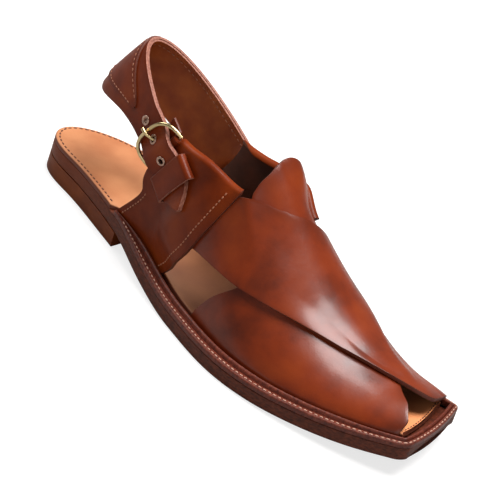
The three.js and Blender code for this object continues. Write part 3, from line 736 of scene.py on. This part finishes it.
under_rear = column(under_rows, "rear")
under_front = column(under_rows, "front")
over_rear = column(over_rows, "rear")
over_front = column(over_rows, "front")
ease_in = 0.035
tab_lift = 4.5
tab_rise = (0.5, 0.62)
tab_fall = (0.72, 0.84)
tab_end = (0.5, 0.57)
toe_pull = 5.0
toe_pull_from = 0.88
lap = leather + 0.12


def under_lift(s, t):
    """The tab's stand off the foot."""
    return tab_lift * ramp(t, *tab_rise) * (1 - ramp(t, *tab_fall)) * (1 - ramp(s, *tab_end))


def strap_sheet(name, rows, rear, front, lift_at, across, along):
    """A strap of the upper as a sheet of hide between its rear and front edges."""
    first = rows[0]["at"]
    last = rows[-1]["at"]

    def place(u, v):
        t = blend(first, last, v)
        s = blend(rear(t), front(t), u)
        near_toe = max(0.0, (s - toe_pull_from) / (1 - toe_pull_from)) ** 1.6
        pull = toe_pull * near_toe * math.sin(math.pi * t) * ramp(t, 0.3, 0.5)
        return on_last(s, t, lift_at(s, t) + crease_lift(s, t) + leather / 2) - UP * pull

    size = (0.3 * sole_length, 1.6 * ball_width)
    piece = hide_sheet(name, across, along, place, size, upper_leather, stained_and_shaded_edge, lining_painted_shade)
    assign(piece, "upper_leather", "upper")


strap_sheet("under_strap", under_rows, under_rear, under_front, under_lift, 54, 120)

# The strap on top crosses it from under the outer quarter to the inner toe. It lies over the strap
# below and settles onto the foot past that strap's edges.
edge_stand = 0.6
stand_reach = 0.1
stand_rise = (0.13, 0.22)
stand_fall = (0.36, 0.6)
beyond_rise = (0.45, 0.7)
rear_ease = 0.11
toe_ease = 0.1


def over_lift(s, t):
    """The strap's lift by the strap below, and the stand of its front edge, which leaves a dark gap."""
    last_turn = under_rows[-1]["at"]
    rear = under_rear(min(t, last_turn))
    front = under_front(min(t, last_turn))
    beyond = ramp(s, front, front + toe_ease) * ramp(t, *beyond_rise)
    covered = ramp(s, rear - rear_ease, rear) * (1 - beyond)
    near_edge = ramp(s, over_front(t) - stand_reach, over_front(t))
    along_edge = ramp(t, *stand_rise) * (1 - ramp(t, *stand_fall))
    return lap * covered + edge_stand * near_edge * along_edge


strap_sheet("over_strap", over_rows, over_rear, over_front, over_lift, 54, 140)

# A quarter stands on each side of the instep, stitched down over the straps' ends. Its top edge is
# folded over and rolled, and its front edge is left cut, with a row of stitches behind it.
quarter_height = 66.0
outer_rows = table(
    "at rear front",
    (0.0, 0.245, 0.408),
    (0.15, 0.266, 0.434),
    (0.3, 0.286, 0.453),
    (0.4, 0.294, 0.464),
    (0.48, 0.288, 0.47),
    (0.58, 0.289, 0.476),
    (0.7, 0.3, 0.484),
    (0.85, 0.321, 0.492),
    (1.0, 0.342, 0.498),
)
inner_rows = table(
    "at rear front",
    (0.0, 0.245, 0.408),
    (0.15, 0.266, 0.43),
    (0.3, 0.288, 0.452),
    (0.45, 0.31, 0.475),
    (0.6, 0.331, 0.502),
    (0.75, 0.35, 0.53),
    (0.88, 0.362, 0.556),
    (1.0, 0.37, 0.572),
)
quarter_top_rows = table(
    "at outer inner",
    (0.3, 1.0, 0.95),
    (0.36, 1.05, 0.99),
    (0.42, 1.11, 1.03),
    (0.5, 1.075, 1.04),
    (0.58, 1.04, 0.88),
)
roll_radius = 1.7
roll_from = 0.8
roll_turn = math.radians(165)


class Quarter:
    """One quarter's edges, and the place of a point between them."""

    def __init__(self, rows, side):
        self.rear = column(rows, "rear")
        self.front = column(rows, "front")
        self.top = column(quarter_top_rows, "outer" if side > 0 else "inner")
        self.side = side

    def lift(self, s, t):
        turn = t if self.side > 0 else 1 - t
        strap_rear = over_rear(t) if self.side > 0 else under_rear(t)
        below = over_lift(s, t) if self.side > 0 else under_lift(s, t)
        return (lap * ramp(s, strap_rear - ease_in, strap_rear) + below) * ramp(turn, 0.01, 0.05)

    def at(self, s, height, extra):
        t = turn_at(s, height, self.side)
        return on_last(s, t, self.lift(s, t) + extra)

    def place(self, u, v):
        wall = min(v / roll_from, 1.0)
        to_corner = ramp(u if self.side > 0 else 1 - u, 0.8, 1.0)
        angle = roll_turn * (1 - 0.45 * to_corner) * max(v - roll_from, 0.0) / (1 - roll_from)
        s = blend(self.rear(wall), self.front(wall), u)
        straight = self.top(s) * quarter_height - roll_radius
        inward = roll_radius * (1 - math.cos(angle))
        return self.at(s, wall * straight + roll_radius * math.sin(angle), leather / 2 - inward)


outer = Quarter(outer_rows, 1)
inner = Quarter(inner_rows, -1)
quarter_size = (0.2 * sole_length, quarter_height)
for name, quarter in (("outer_quarter", outer), ("inner_quarter", inner)):
    def laid(u, v, quarter=quarter):
        return quarter.place(u if quarter.side > 0 else 1 - u, v)

    piece = hide_sheet(name, 48, 70, laid, quarter_size, quarter_leather, stained_and_shaded_edge, lining_painted_shade)
    assign(piece, "upper_leather", "upper")


def quarter_stitches(name, quarter, edge, back, low, high):
    """A row of stitches along a quarter's front or rear edge, back millimetres from it."""
    route = []
    for k in range(41):
        v = blend(low, high, k / 40)
        inward = back / sole_length
        share = quarter.front(v) - inward if edge == "front" else quarter.rear(v) + inward
        height = v * quarter.top(share) * quarter_height
        point = quarter.at(share, height, leather + stitch_rise)
        beyond = quarter.at(share, height, leather + stitch_rise + 1)
        route.append((point, beyond - point))
    stitch_row(name, route, "quarter", brown_thread, "upper_leather")


quarter_stitches("outer_front_stitches", outer, "front", 5.0, 0.05, 0.93)
quarter_stitches("outer_rear_stitches", outer, "rear", 3.4, 0.05, 0.4)
quarter_stitches("inner_front_stitches", inner, "front", 5.0, 0.05, 0.93)
quarter_stitches("inner_rear_stitches", inner, "rear", 3.4, 0.05, 0.93)

# The buckle hangs on the outer quarter: its bar lies in a fold of the quarter's leather, which is
# slotted for the prong. "along" runs with the strap to its tip and "across" is the bar.
buckle_place = 0.313
buckle_height = 0.83
strap_slope = math.radians(29.5)
buckle_inside = 30.0
buckle_depth = 12.5
wire = 2.2
bar_lift = 1.6
along_y, along_z = math.cos(strap_slope), -math.sin(strap_slope)
across_y, across_z = math.sin(strap_slope), math.cos(strap_slope)
buckle_y = buckle_place * sole_length
buckle_z = feather_height(buckle_place) + buckle_height * quarter_height


def by_buckle(a, w, lift):
    """A point beside the outer quarter, a along the strap and w along the bar from the bar's middle."""
    y = buckle_y + along_y * a + across_y * w
    z = buckle_z + along_z * a + across_z * w
    s = y / sole_length
    t = turn_at(s, z - feather_height(s), 1)
    return on_last(s, t, outer.lift(s, t) + lift)


bar_axis = (by_buckle(0, 15, bar_lift) - by_buckle(0, -15, bar_lift)).normalized()
out_axis = (by_buckle(2, 0, bar_lift) - by_buckle(-2, 0, bar_lift)).cross(bar_axis).normalized()
along_axis = bar_axis.cross(out_axis)
bar_middle = by_buckle(0, 0, bar_lift)


def at_bar(a, out, w):
    """A point in the buckle's own straight directions."""
    return bar_middle + along_axis * a + out_axis * out + bar_axis * w


# A leaf of the quarter's leather lies under the buckle and ends in a small ear above the frame.
leaf_low = -13.0
leaf_high = 16.6
leaf_front = -2.0
leaf_back = -9.5
leaf_thick = 1.6
ear_reach = 1.6


def laid_leaf(u, v):
    w = blend(leaf_low, leaf_high, v)
    back = leaf_back - ear_reach * ramp(w, 9, leaf_high)
    return by_buckle(blend(back, leaf_front, u), w, leaf_thick / 2 + 0.15)


buckle_leaf = hide_sheet(
    "buckle_leaf", 14, 30, laid_leaf, (10, 30), quarter_leather, stained_and_shaded_edge, lining_painted_shade, 0.4, leaf_thick,
)
assign(buckle_leaf, "upper_leather", "upper")

# Cast brass, tumbled and lacquered pale gold, with the softened highlights of small castings.
paint = Paint("pale_cast_brass")
tarnish = paint.noise(4, 3)
brass = paint.finish({
    "Base Color": paint.tones(tarnish, (0, "b89a62"), (1, "e8d6a8")),
    "Roughness": paint.spread(tarnish, 0.16, 0.34),
    "Metallic": 1.0,
})


def wire_piece(name, points, radius, closed=False):
    """A round wire along points, made as a curve and turned into a mesh with flat capped ends."""
    curve = bpy.data.curves.new(name, "CURVE")
    curve.dimensions = "3D"
    curve.bevel_depth = radius * MM
    curve.bevel_resolution = 5
    curve.use_fill_caps = True
    spline = curve.splines.new("POLY")
    spline.points.add(len(points) - 1)
    for knot, point in zip(spline.points, points):
        knot.co = (*((point - SEAT) * MM), 1)
    spline.use_cyclic_u = closed
    piece = bpy.data.objects.new(name, curve)
    bpy.context.collection.objects.link(piece)
    bpy.ops.object.select_all(action="DESELECT")
    piece.select_set(True)
    bpy.context.view_layer.objects.active = piece
    bpy.ops.object.convert(target="MESH")
    piece = bpy.context.object
    bpy.ops.object.shade_smooth_by_angle(angle=math.radians(50))
    return piece


bar_reach = buckle_inside / 2 + wire / 2
arc_rise = 5.4
arc_square = 0.7
frame_points = []
for k in range(49):
    angle = math.pi * k / 48
    turn = math.cos(angle)
    w = -math.copysign(abs(turn) ** arc_square, turn) * bar_reach
    back = abs(math.sin(angle)) ** arc_square
    frame_points.append(at_bar(-buckle_depth * back, arc_rise * back, w))
frame_points += [at_bar(0, 0, bar_reach * (1 - 2 * k / 12)) for k in range(1, 12)]
buckle_frame = wire_piece("buckle_frame_brass", frame_points, wire / 2, closed=True)
dress(buckle_frame, brass, "brass", "buckle_frame")

prong_wire = 1.9
prong_steps = [
    (-0.2, 2.0), (-2.1, 1.2), (-4.2, 1.4), (-6.2, 2.6), (-8.2, 4.9), (-10.6, 7.1), (-12.4, 7.9), (-14.4, 7.9),
]
prong_points = [at_bar(a, out, 0) for a, out in prong_steps]
buckle_prong = wire_piece("buckle_prong_brass", prong_points, prong_wire / 2)
dress(buckle_prong, brass, "brass", "buckle_prong")
prong_ring_radius = 1.95
prong_ring_wire = 1.7
prong_ring_points = circle(24, prong_ring_radius, lambda x, y: at_bar(x, y, 0))
prong_ring = wire_piece("buckle_prong_ring", prong_ring_points, prong_ring_wire / 2, closed=True)
dress(prong_ring, brass, "brass")

# The fold that carries the bar, one sleeve of hide on each side of the prong's slot.
barrel_radius = wire / 2 + gap + 1.5
slot_half = 2.0
sleeve_end = 14.7
sleeves = (("bar_sleeve_low", -sleeve_end, -slot_half), ("bar_sleeve_high", slot_half, sleeve_end))
for name, low, high in sleeves:
    rings = []
    for k in range(19):
        w = blend(low, high, k / 18)
        end = min(w - low, high - w)
        radius = barrel_radius * (1 - 0.25 * max(0.0, 1 - end / 0.8) ** 2)
        rings.append(circle(28, radius, lambda x, y: at_bar(x, y, w)))
    sleeve = lofted(name, rings)
    dress(sleeve, quarter_leather, "upper_leather", "upper")

# The heel strap is two leathers glued and stitched about a thin pad. It is sewn onto the inner
# quarter, runs round behind the heel, and its pointed tip passes over the bar and through the keeper.
strap_thickness = 2.4
strap_padding = 0.8
pad_start = (17, 20)
pad_end = (31, 34)
strap_width_back = 44.0
strap_width_inner = 40.0
strap_width_front = 22.0
strap_tip_length = 34.0
strap_point_length = 12.0
strap_lift = leather + gap + strap_thickness / 2 + 0.1
strap_run = [
    (1.0, 0.0), (0.92, 0.0), (0.8, 0.0), (0.66, 0.0), (0.5, 0.0), (0.38, 0.0), (0.26, 0.15), (0.18, 0.9),
    (0.1, 1.9), (0.03, 2.3), (-0.04, 2.2), (-0.12, 1.5), (-0.2, 0.5), (-0.29, -0.3), (-0.38, -0.4),
    (-0.47, -0.3),
]
loop_back = 45.6
loop_depth = 80.0
loop_half_width = 0.27 * ball_width
loop_swing = 0.082 * ball_width
loop_top = 107.0
loop_fall = 0.55
loop_from = 52
loop_to = -74
widen_from = 58
widen_to = 15
inner_run = table(
    "place top width",
    (0.375, 0.75, 0.9),
    (0.4, 0.69, 0.75),
    (0.42, 0.635, 0.62),
    (0.435, 0.59, 0.5),
)


def strap_half_width(a):
    """Half the strap's width near its tip."""
    point = min(max((a - (strap_tip_length - strap_point_length)) / strap_point_length, 0.0), 1.0)
    return strap_width_front / 2 * (1 - 0.93 * point**1.2)


# Stations of the strap: its lower edge, middle and upper edge on the middle of its thickness.
strap_stations = []
for share, lift in strap_run:
    a = share * strap_tip_length
    half = strap_half_width(a)
    strap_stations.append([by_buckle(a, w, strap_lift + lift) for w in (-half, 0, half)])
down = Vector((0, -across_y, -across_z))
for k in range(17):
    degrees = blend(loop_from, loop_to, k / 16)
    angle = math.radians(degrees)
    forward = loop_depth * (1 - math.cos(angle))
    sideways = loop_swing + loop_half_width * math.sin(angle)
    top = Vector((sideways, loop_back + forward, loop_top - loop_fall * forward))
    front_width = strap_width_front if degrees > 0 else strap_width_inner
    width = blend(strap_width_back, front_width, ramp(abs(degrees), widen_to, widen_from))
    strap_stations.append([top + down * width, top + down * width / 2, top])
for row in inner_run:
    station = []
    for share in (1, 0.5, 0):
        w = -row["width"] * strap_width_inner * share
        s = row["place"] + across_y * w / sole_length
        t = turn_at(s, row["top"] * instep_height + across_z * w, -1)
        station.append(on_last(s, t, inner.lift(s, t) + strap_lift + 0.2))
    strap_stations.append(station)

# Places along the strap are measured in station steps, so a smooth curve can run through them.
strap_steps = len(strap_stations) - 1


def strap_point(place, share):
    """The strap's middle surface: place in stations from the tip, share 0 low to 1 high."""
    i = min(int(place), strap_steps - 1)
    u = place - i
    knots = [strap_stations[min(max(i + k, 0), strap_steps)] for k in (-1, 0, 1, 2)]
    edge = []
    for j in range(3):
        p0, p1, p2, p3 = (knot[j] for knot in knots)
        bend = p0 * 2 - p1 * 5 + p2 * 4 - p3
        edge.append((p1 * 2 + (p2 - p0) * u + bend * u**2 + (p1 * 3 - p0 - p2 * 3 + p3) * u**3) / 2)
    low, middle, high = edge
    ends = low * (1 - share) * (1 - 2 * share) + high * share * (2 * share - 1)
    return ends + middle * 4 * share * (1 - share)


def strap_normal(place, share):
    """The strap's outward direction."""
    step = 0.05
    run = strap_point(min(place + step, strap_steps), share) - strap_point(max(place - step, 0), share)
    rise = strap_point(place, min(share + 0.05, 1)) - strap_point(place, max(share - 0.05, 0))
    return rise.cross(run).normalized()


strap_hide = polished_hide("polished_strap_hide", "581c05", "762a08", "88380b", 0.42, 0.1, 0.24)
paint = Paint("tan_calf_lining")
nap = paint.noise(12, 5)
tan_lining = paint.finish({
    "Base Color": paint.tones(nap, (0.3, "86390c"), (0.75, "ad591b")),
    "Normal": paint.bump(nap, 0.2, 0.0005),
    "Roughness": 0.5,
    "Specular IOR Level": 0.25,
})


def padding_at(place):
    """The pad's thickness at a place along the strap: none beside the buckle."""
    return strap_padding * ramp(place, *pad_start) * (1 - ramp(place, *pad_end))


def strap_layer(name, low, high, margin, thick, outside, inside):
    """One of the strap's leathers, its middle between low and high off the strap's middle surface."""

    def place(u, v):
        station = (1 - u) * strap_steps
        share = blend(margin, 1 - margin, v)
        puff = padding_at(station) / strap_padding * (1 - (2 * share - 1) ** 4)
        return strap_point(station, share) + strap_normal(station, share) * blend(low, high, puff)

    size = (250, 36)
    return hide_sheet(name, 170, 16, place, size, outside, cut_edge, inside, 0.4, thick)


outer_thick = 1.35
lining_thick = strap_thickness - outer_thick - 0.05
lining_trim = 0.012
outer_flat = (strap_thickness - outer_thick) / 2
lining_flat = (lining_thick - strap_thickness) / 2
outer_layer = strap_layer(
    "heel_strap_outer", outer_flat, outer_flat + strap_padding, 0.0, outer_thick, strap_hide, tan_lining,
)
lining_layer = strap_layer(
    "heel_strap_lining", lining_flat, lining_flat + strap_padding * 0.4, lining_trim, lining_thick + 0.3,
    tan_lining, tan_lining,
)

# A second leather is stitched over the strap's back. It ends in a point on each side of the heel.
patch_middle = 22.6
patch_reach = 6.0
patch_thick = 1.1
patch_point = 0.35
patch_down = 0.17
patch_up = 0.65
patch_top = 0.97
patch_stitch_reach = 0.93
patch_lift = strap_thickness / 2 + patch_thick / 2


def patch_edges(station):
    """The patch's lower and upper edge, as shares of the strap's width."""
    open_by = max(0.0, 1 - (abs(station - patch_middle) / patch_reach) ** 1.5)
    return patch_point - patch_down * open_by**0.5, min(patch_point + patch_up * open_by**0.6, patch_top)


def on_strap(station, share, extra):
    """A point off the outside of the padded strap."""
    puff = padding_at(station) * (1 - (2 * share - 1) ** 4)
    return strap_point(station, share) + strap_normal(station, share) * (puff + extra)


def laid_patch(u, v):
    station = patch_middle + patch_reach * (1 - 2 * u) * 0.995
    low, high = patch_edges(station)
    return on_strap(station, blend(low, high, v), patch_lift)


patch = hide_sheet(
    "heel_strap_patch", 90, 18, laid_patch, (110, 30), strap_hide, stained_and_shaded_edge, tan_lining, 0.3, patch_thick,
)
assign(patch, "strap_leather", "heel_strap")
for name, pick, inside in (("patch_low_stitches", 0, 0.07), ("patch_high_stitches", 1, -0.07)):
    route = []
    for k in range(71):
        station = patch_middle + patch_reach * (2 * k / 70 - 1) * patch_stitch_reach
        share = patch_edges(station)[pick] + inside * (1 - (abs(station - patch_middle) / patch_reach) ** 4)
        start = on_strap(station, share, patch_lift + patch_thick / 2)
        route.append((start, strap_normal(station, share)))
    stitch_row(name, route, "overlay", brown_thread, "strap_leather")

# A row of stitches runs along the lining's upper edge, and one across the seam on the inner quarter.
strap_face = strap_thickness / 2 + stitch_rise
lining_stitch_share = 0.9
route = []
for k in range(121):
    station = blend(3, strap_steps - 1.2, k / 120)
    inward = -strap_normal(station, lining_stitch_share)
    route.append((strap_point(station, lining_stitch_share) + inward * strap_face, inward))
stitch_row("lining_stitches", route, "lining", brown_thread, "strap_leather")

seam_place = strap_steps - 0.35
route = []
for k in range(31):
    share = blend(0.07, 0.93, k / 30)
    route.append((on_strap(seam_place, share, strap_face), strap_normal(seam_place, share)))
stitch_row("strap_seam_stitches", route, "seam", brown_thread, "strap_leather")

# Holes for the eyelets go through both leathers.
eyelet_places = [-19.0, -7.0, 5.0]


def run_place(a):
    """The station place that lies a along the strap beside the buckle."""
    for i in range(len(strap_run) - 1):
        ahead = strap_run[i][0] * strap_tip_length
        behind = strap_run[i + 1][0] * strap_tip_length
        if behind <= a <= ahead:
            return i + (ahead - a) / (ahead - behind)
    start = strap_run[-1][0] * strap_tip_length
    step = (strap_point(len(strap_run), 0.5) - strap_point(len(strap_run) - 1, 0.5)).length
    return len(strap_run) - 1 + (start - a) / step


eyelet_seats = []
for a in eyelet_places:
    station = run_place(a)
    eyelet_seats.append((strap_point(station, 0.5), strap_normal(station, 0.5)))
eyelet_hole = 2.8
punch_margin = 0.3


def stand(piece, middle, out):
    """Moves a mesh made about the origin to a point of the shoe, with its Z along out."""
    turn = out.to_track_quat("Z", "Y").to_matrix().to_4x4()
    piece.data.transform(Matrix.Translation((middle - SEAT) * MM) @ turn)


for layer in (outer_layer, lining_layer):
    for middle, out in eyelet_seats:
        radius = (eyelet_hole / 2 + punch_margin) * MM
        bpy.ops.mesh.primitive_cylinder_add(vertices=24, radius=radius, depth=12 * MM)
        punch = bpy.context.object
        stand(punch, middle, out)
        cut = layer.modifiers.new("punch", "BOOLEAN")
        cut.object = punch
        cut.operation = "DIFFERENCE"
        bpy.context.view_layer.objects.active = layer
        bpy.ops.object.modifier_apply(modifier="punch")
        bpy.data.objects.remove(punch)
assign(outer_layer, "strap_leather", "heel_strap")
assign(lining_layer, "strap_leather", "heel_strap")

# Eyelets are small pressed rings of aged metal, rolled over on the strap's face.
aged_metal = mottled("aged_pressed_metal", 2.5, 3, (0, "8f6a58"), (1, "d8b7a4"), 0.32, metallic=1.0)
ring_radius = 2.1
ring_wire = 0.7
tube_outside = 1.65
tube_inside = 1.4
tube_end = -1.1
face = strap_thickness / 2 + 0.25
tube_corners = ((face, tube_outside), (tube_end, tube_outside), (tube_end, tube_inside), (face, tube_inside))
for k, (middle, out) in enumerate(eyelet_seats):
    bpy.ops.mesh.primitive_torus_add(
        major_segments=32, minor_segments=12, major_radius=ring_radius * MM, minor_radius=ring_wire * MM,
    )
    ring = bpy.context.object
    ring.name = f"eyelet_ring_{k + 1}"
    ring.data.transform(Matrix.Diagonal((1, 1, 0.7, 1)))
    stand(ring, middle + out * face, out)
    bpy.ops.object.shade_smooth()
    dress(ring, aged_metal, "aged_metal", f"eyelet_{k + 1}")
    rings = []
    side = out.orthogonal().normalized()
    other = out.cross(side)
    for level, radius in tube_corners:
        rings.append(circle(24, radius, lambda x, y: middle + out * level + side * x + other * y))
    tube = laid_grid(f"eyelet_tube_{k + 1}", 4, 24, lambda u, v: rings[round(u * 4) % 4][round(v * 24) % 24])
    weld(40)
    dress(tube, aged_metal, "aged_metal")

# The keeper is a band of the same hide bent over the strap and sewn to the quarter on both sides.
keeper_from = 9.3
keeper_length = 14.0
keeper_leather = 1.6
keeper_room = 2.2
keeper_clear = gap + 0.2
keeper_corner = 1.6
keeper_side = strap_width_front / 2 + keeper_room + keeper_leather / 2
keeper_shift = 1.2
keeper_top = strap_lift + strap_thickness / 2 + keeper_clear + keeper_leather / 2
keeper_foot = leather + keeper_clear


def keeper_place(u, v):
    """The band's middle surface: u along the strap, v round over it."""
    a = keeper_from + keeper_length * u
    corner = keeper_corner
    rise = keeper_top - keeper_foot - corner
    run = 2 * (keeper_side - corner)
    turn = corner * math.pi / 2
    walk = v * (2 * rise + run + 2 * turn)
    if walk < rise:
        w, lift = -keeper_side, keeper_foot + walk
    elif walk < rise + turn:
        angle = (walk - rise) / corner
        w, lift = -keeper_side + corner * (1 - math.cos(angle)), keeper_foot + rise + corner * math.sin(angle)
    elif walk < rise + turn + run:
        w, lift = -keeper_side + corner + walk - rise - turn, keeper_top
    elif walk < rise + 2 * turn + run:
        angle = (walk - rise - turn - run) / corner
        w, lift = keeper_side - corner * (1 - math.sin(angle)), keeper_top - corner * (1 - math.cos(angle))
    else:
        w, lift = keeper_side, keeper_top - corner - (walk - rise - 2 * turn - run)
    return by_buckle(a, w + keeper_shift, lift)


keeper = hide_sheet(
    "strap_keeper", 14, 60, keeper_place, (keeper_length, 40),
    strap_hide, cut_edge, lining_painted_shade, 0.35, keeper_leather,
)
assign(keeper, "upper_leather", "keeper")

# The floor is a plain pale studio sweep. Light comes from a large soft box overhead, with a weaker one
# behind the heel and a wide fill from the camera's side, as for a catalogue picture.
floor_glow = 0.75
world_glow = 0.18
bpy.ops.mesh.primitive_plane_add(size=8)
floor = bpy.context.object
floor.name = "studio_floor"
paint = Paint("pale_studio_floor")
# To the camera the sweep glows white, and to the shoe it is a mid grey, so little of it is mirrored.
seen = paint.node("ShaderNodeLightPath", {}).outputs["Is Camera Ray"]
glow = paint.node("ShaderNodeMath", {0: seen, 1: floor_glow}, operation="MULTIPLY").outputs["Value"]
floor.data.materials.append(paint.finish({
    "Base Color": srgb("9c9a98"),
    "Roughness": paint.spread(paint.noise(1000 / 3, 2), 0.7, 0.8),
    "Emission Color": srgb("ffffff"),
    "Emission Strength": glow,
}))

bpy.context.scene.view_settings.view_transform = "Standard"
world = bpy.data.worlds.new("studio")
world.use_nodes = True
sky = world.node_tree.nodes["Background"]
sky.inputs["Color"].default_value = srgb("ffffff")
sky.inputs["Strength"].default_value = world_glow
bpy.context.scene.world = world

aim = Vector((0.005, 0.11, 0.04))
lights = table(
    "name from size watts",
    ("overhead_box", (-0.25, 0.25, 1.25), 0.8, 28),
    ("back_left_box", (0.15, -1.0, 0.9), 0.7, 7),
    ("front_fill", (1.3, 1.3, 0.6), 1.2, 5),
)
for row in lights:
    lamp = bpy.data.lights.new(row["name"], "AREA")
    lamp.shape = "SQUARE"
    lamp.size = row["size"]
    lamp.energy = row["watts"]
    light = bpy.data.objects.new(row["name"], lamp)
    light.location = row["from"]
    light.rotation_euler = (aim - Vector(row["from"])).to_track_quat("-Z", "Y").to_euler()
    bpy.context.collection.objects.link(light)

# The camera looks down on the outer side from ahead of the toe, rolled as in the photo.
photo_width = 502
photo_lens = 2181.65
closer = 1.5
photo_shift = (10.2, 28.7)
camera_place = (1.1772, 0.9681, 0.9322)
lens = bpy.data.cameras.new("camera")
lens.sensor_width = 36
lens.lens = photo_lens * closer * lens.sensor_width / photo_width
lens.shift_x = photo_shift[0] / photo_width
lens.shift_y = photo_shift[1] / photo_width
camera = bpy.data.objects.new("camera", lens)
right = Vector((-0.6980, 0.6590, 0.2780))
back = Vector((0.6840, 0.5000, 0.5320)).normalized()
right = (right - back * right.dot(back)).normalized()
turn = Matrix((right, back.cross(right), back)).transposed().to_4x4()
camera.matrix_world = Matrix.Translation(camera_place) @ turn
bpy.context.collection.objects.link(camera)
bpy.context.scene.camera = camera
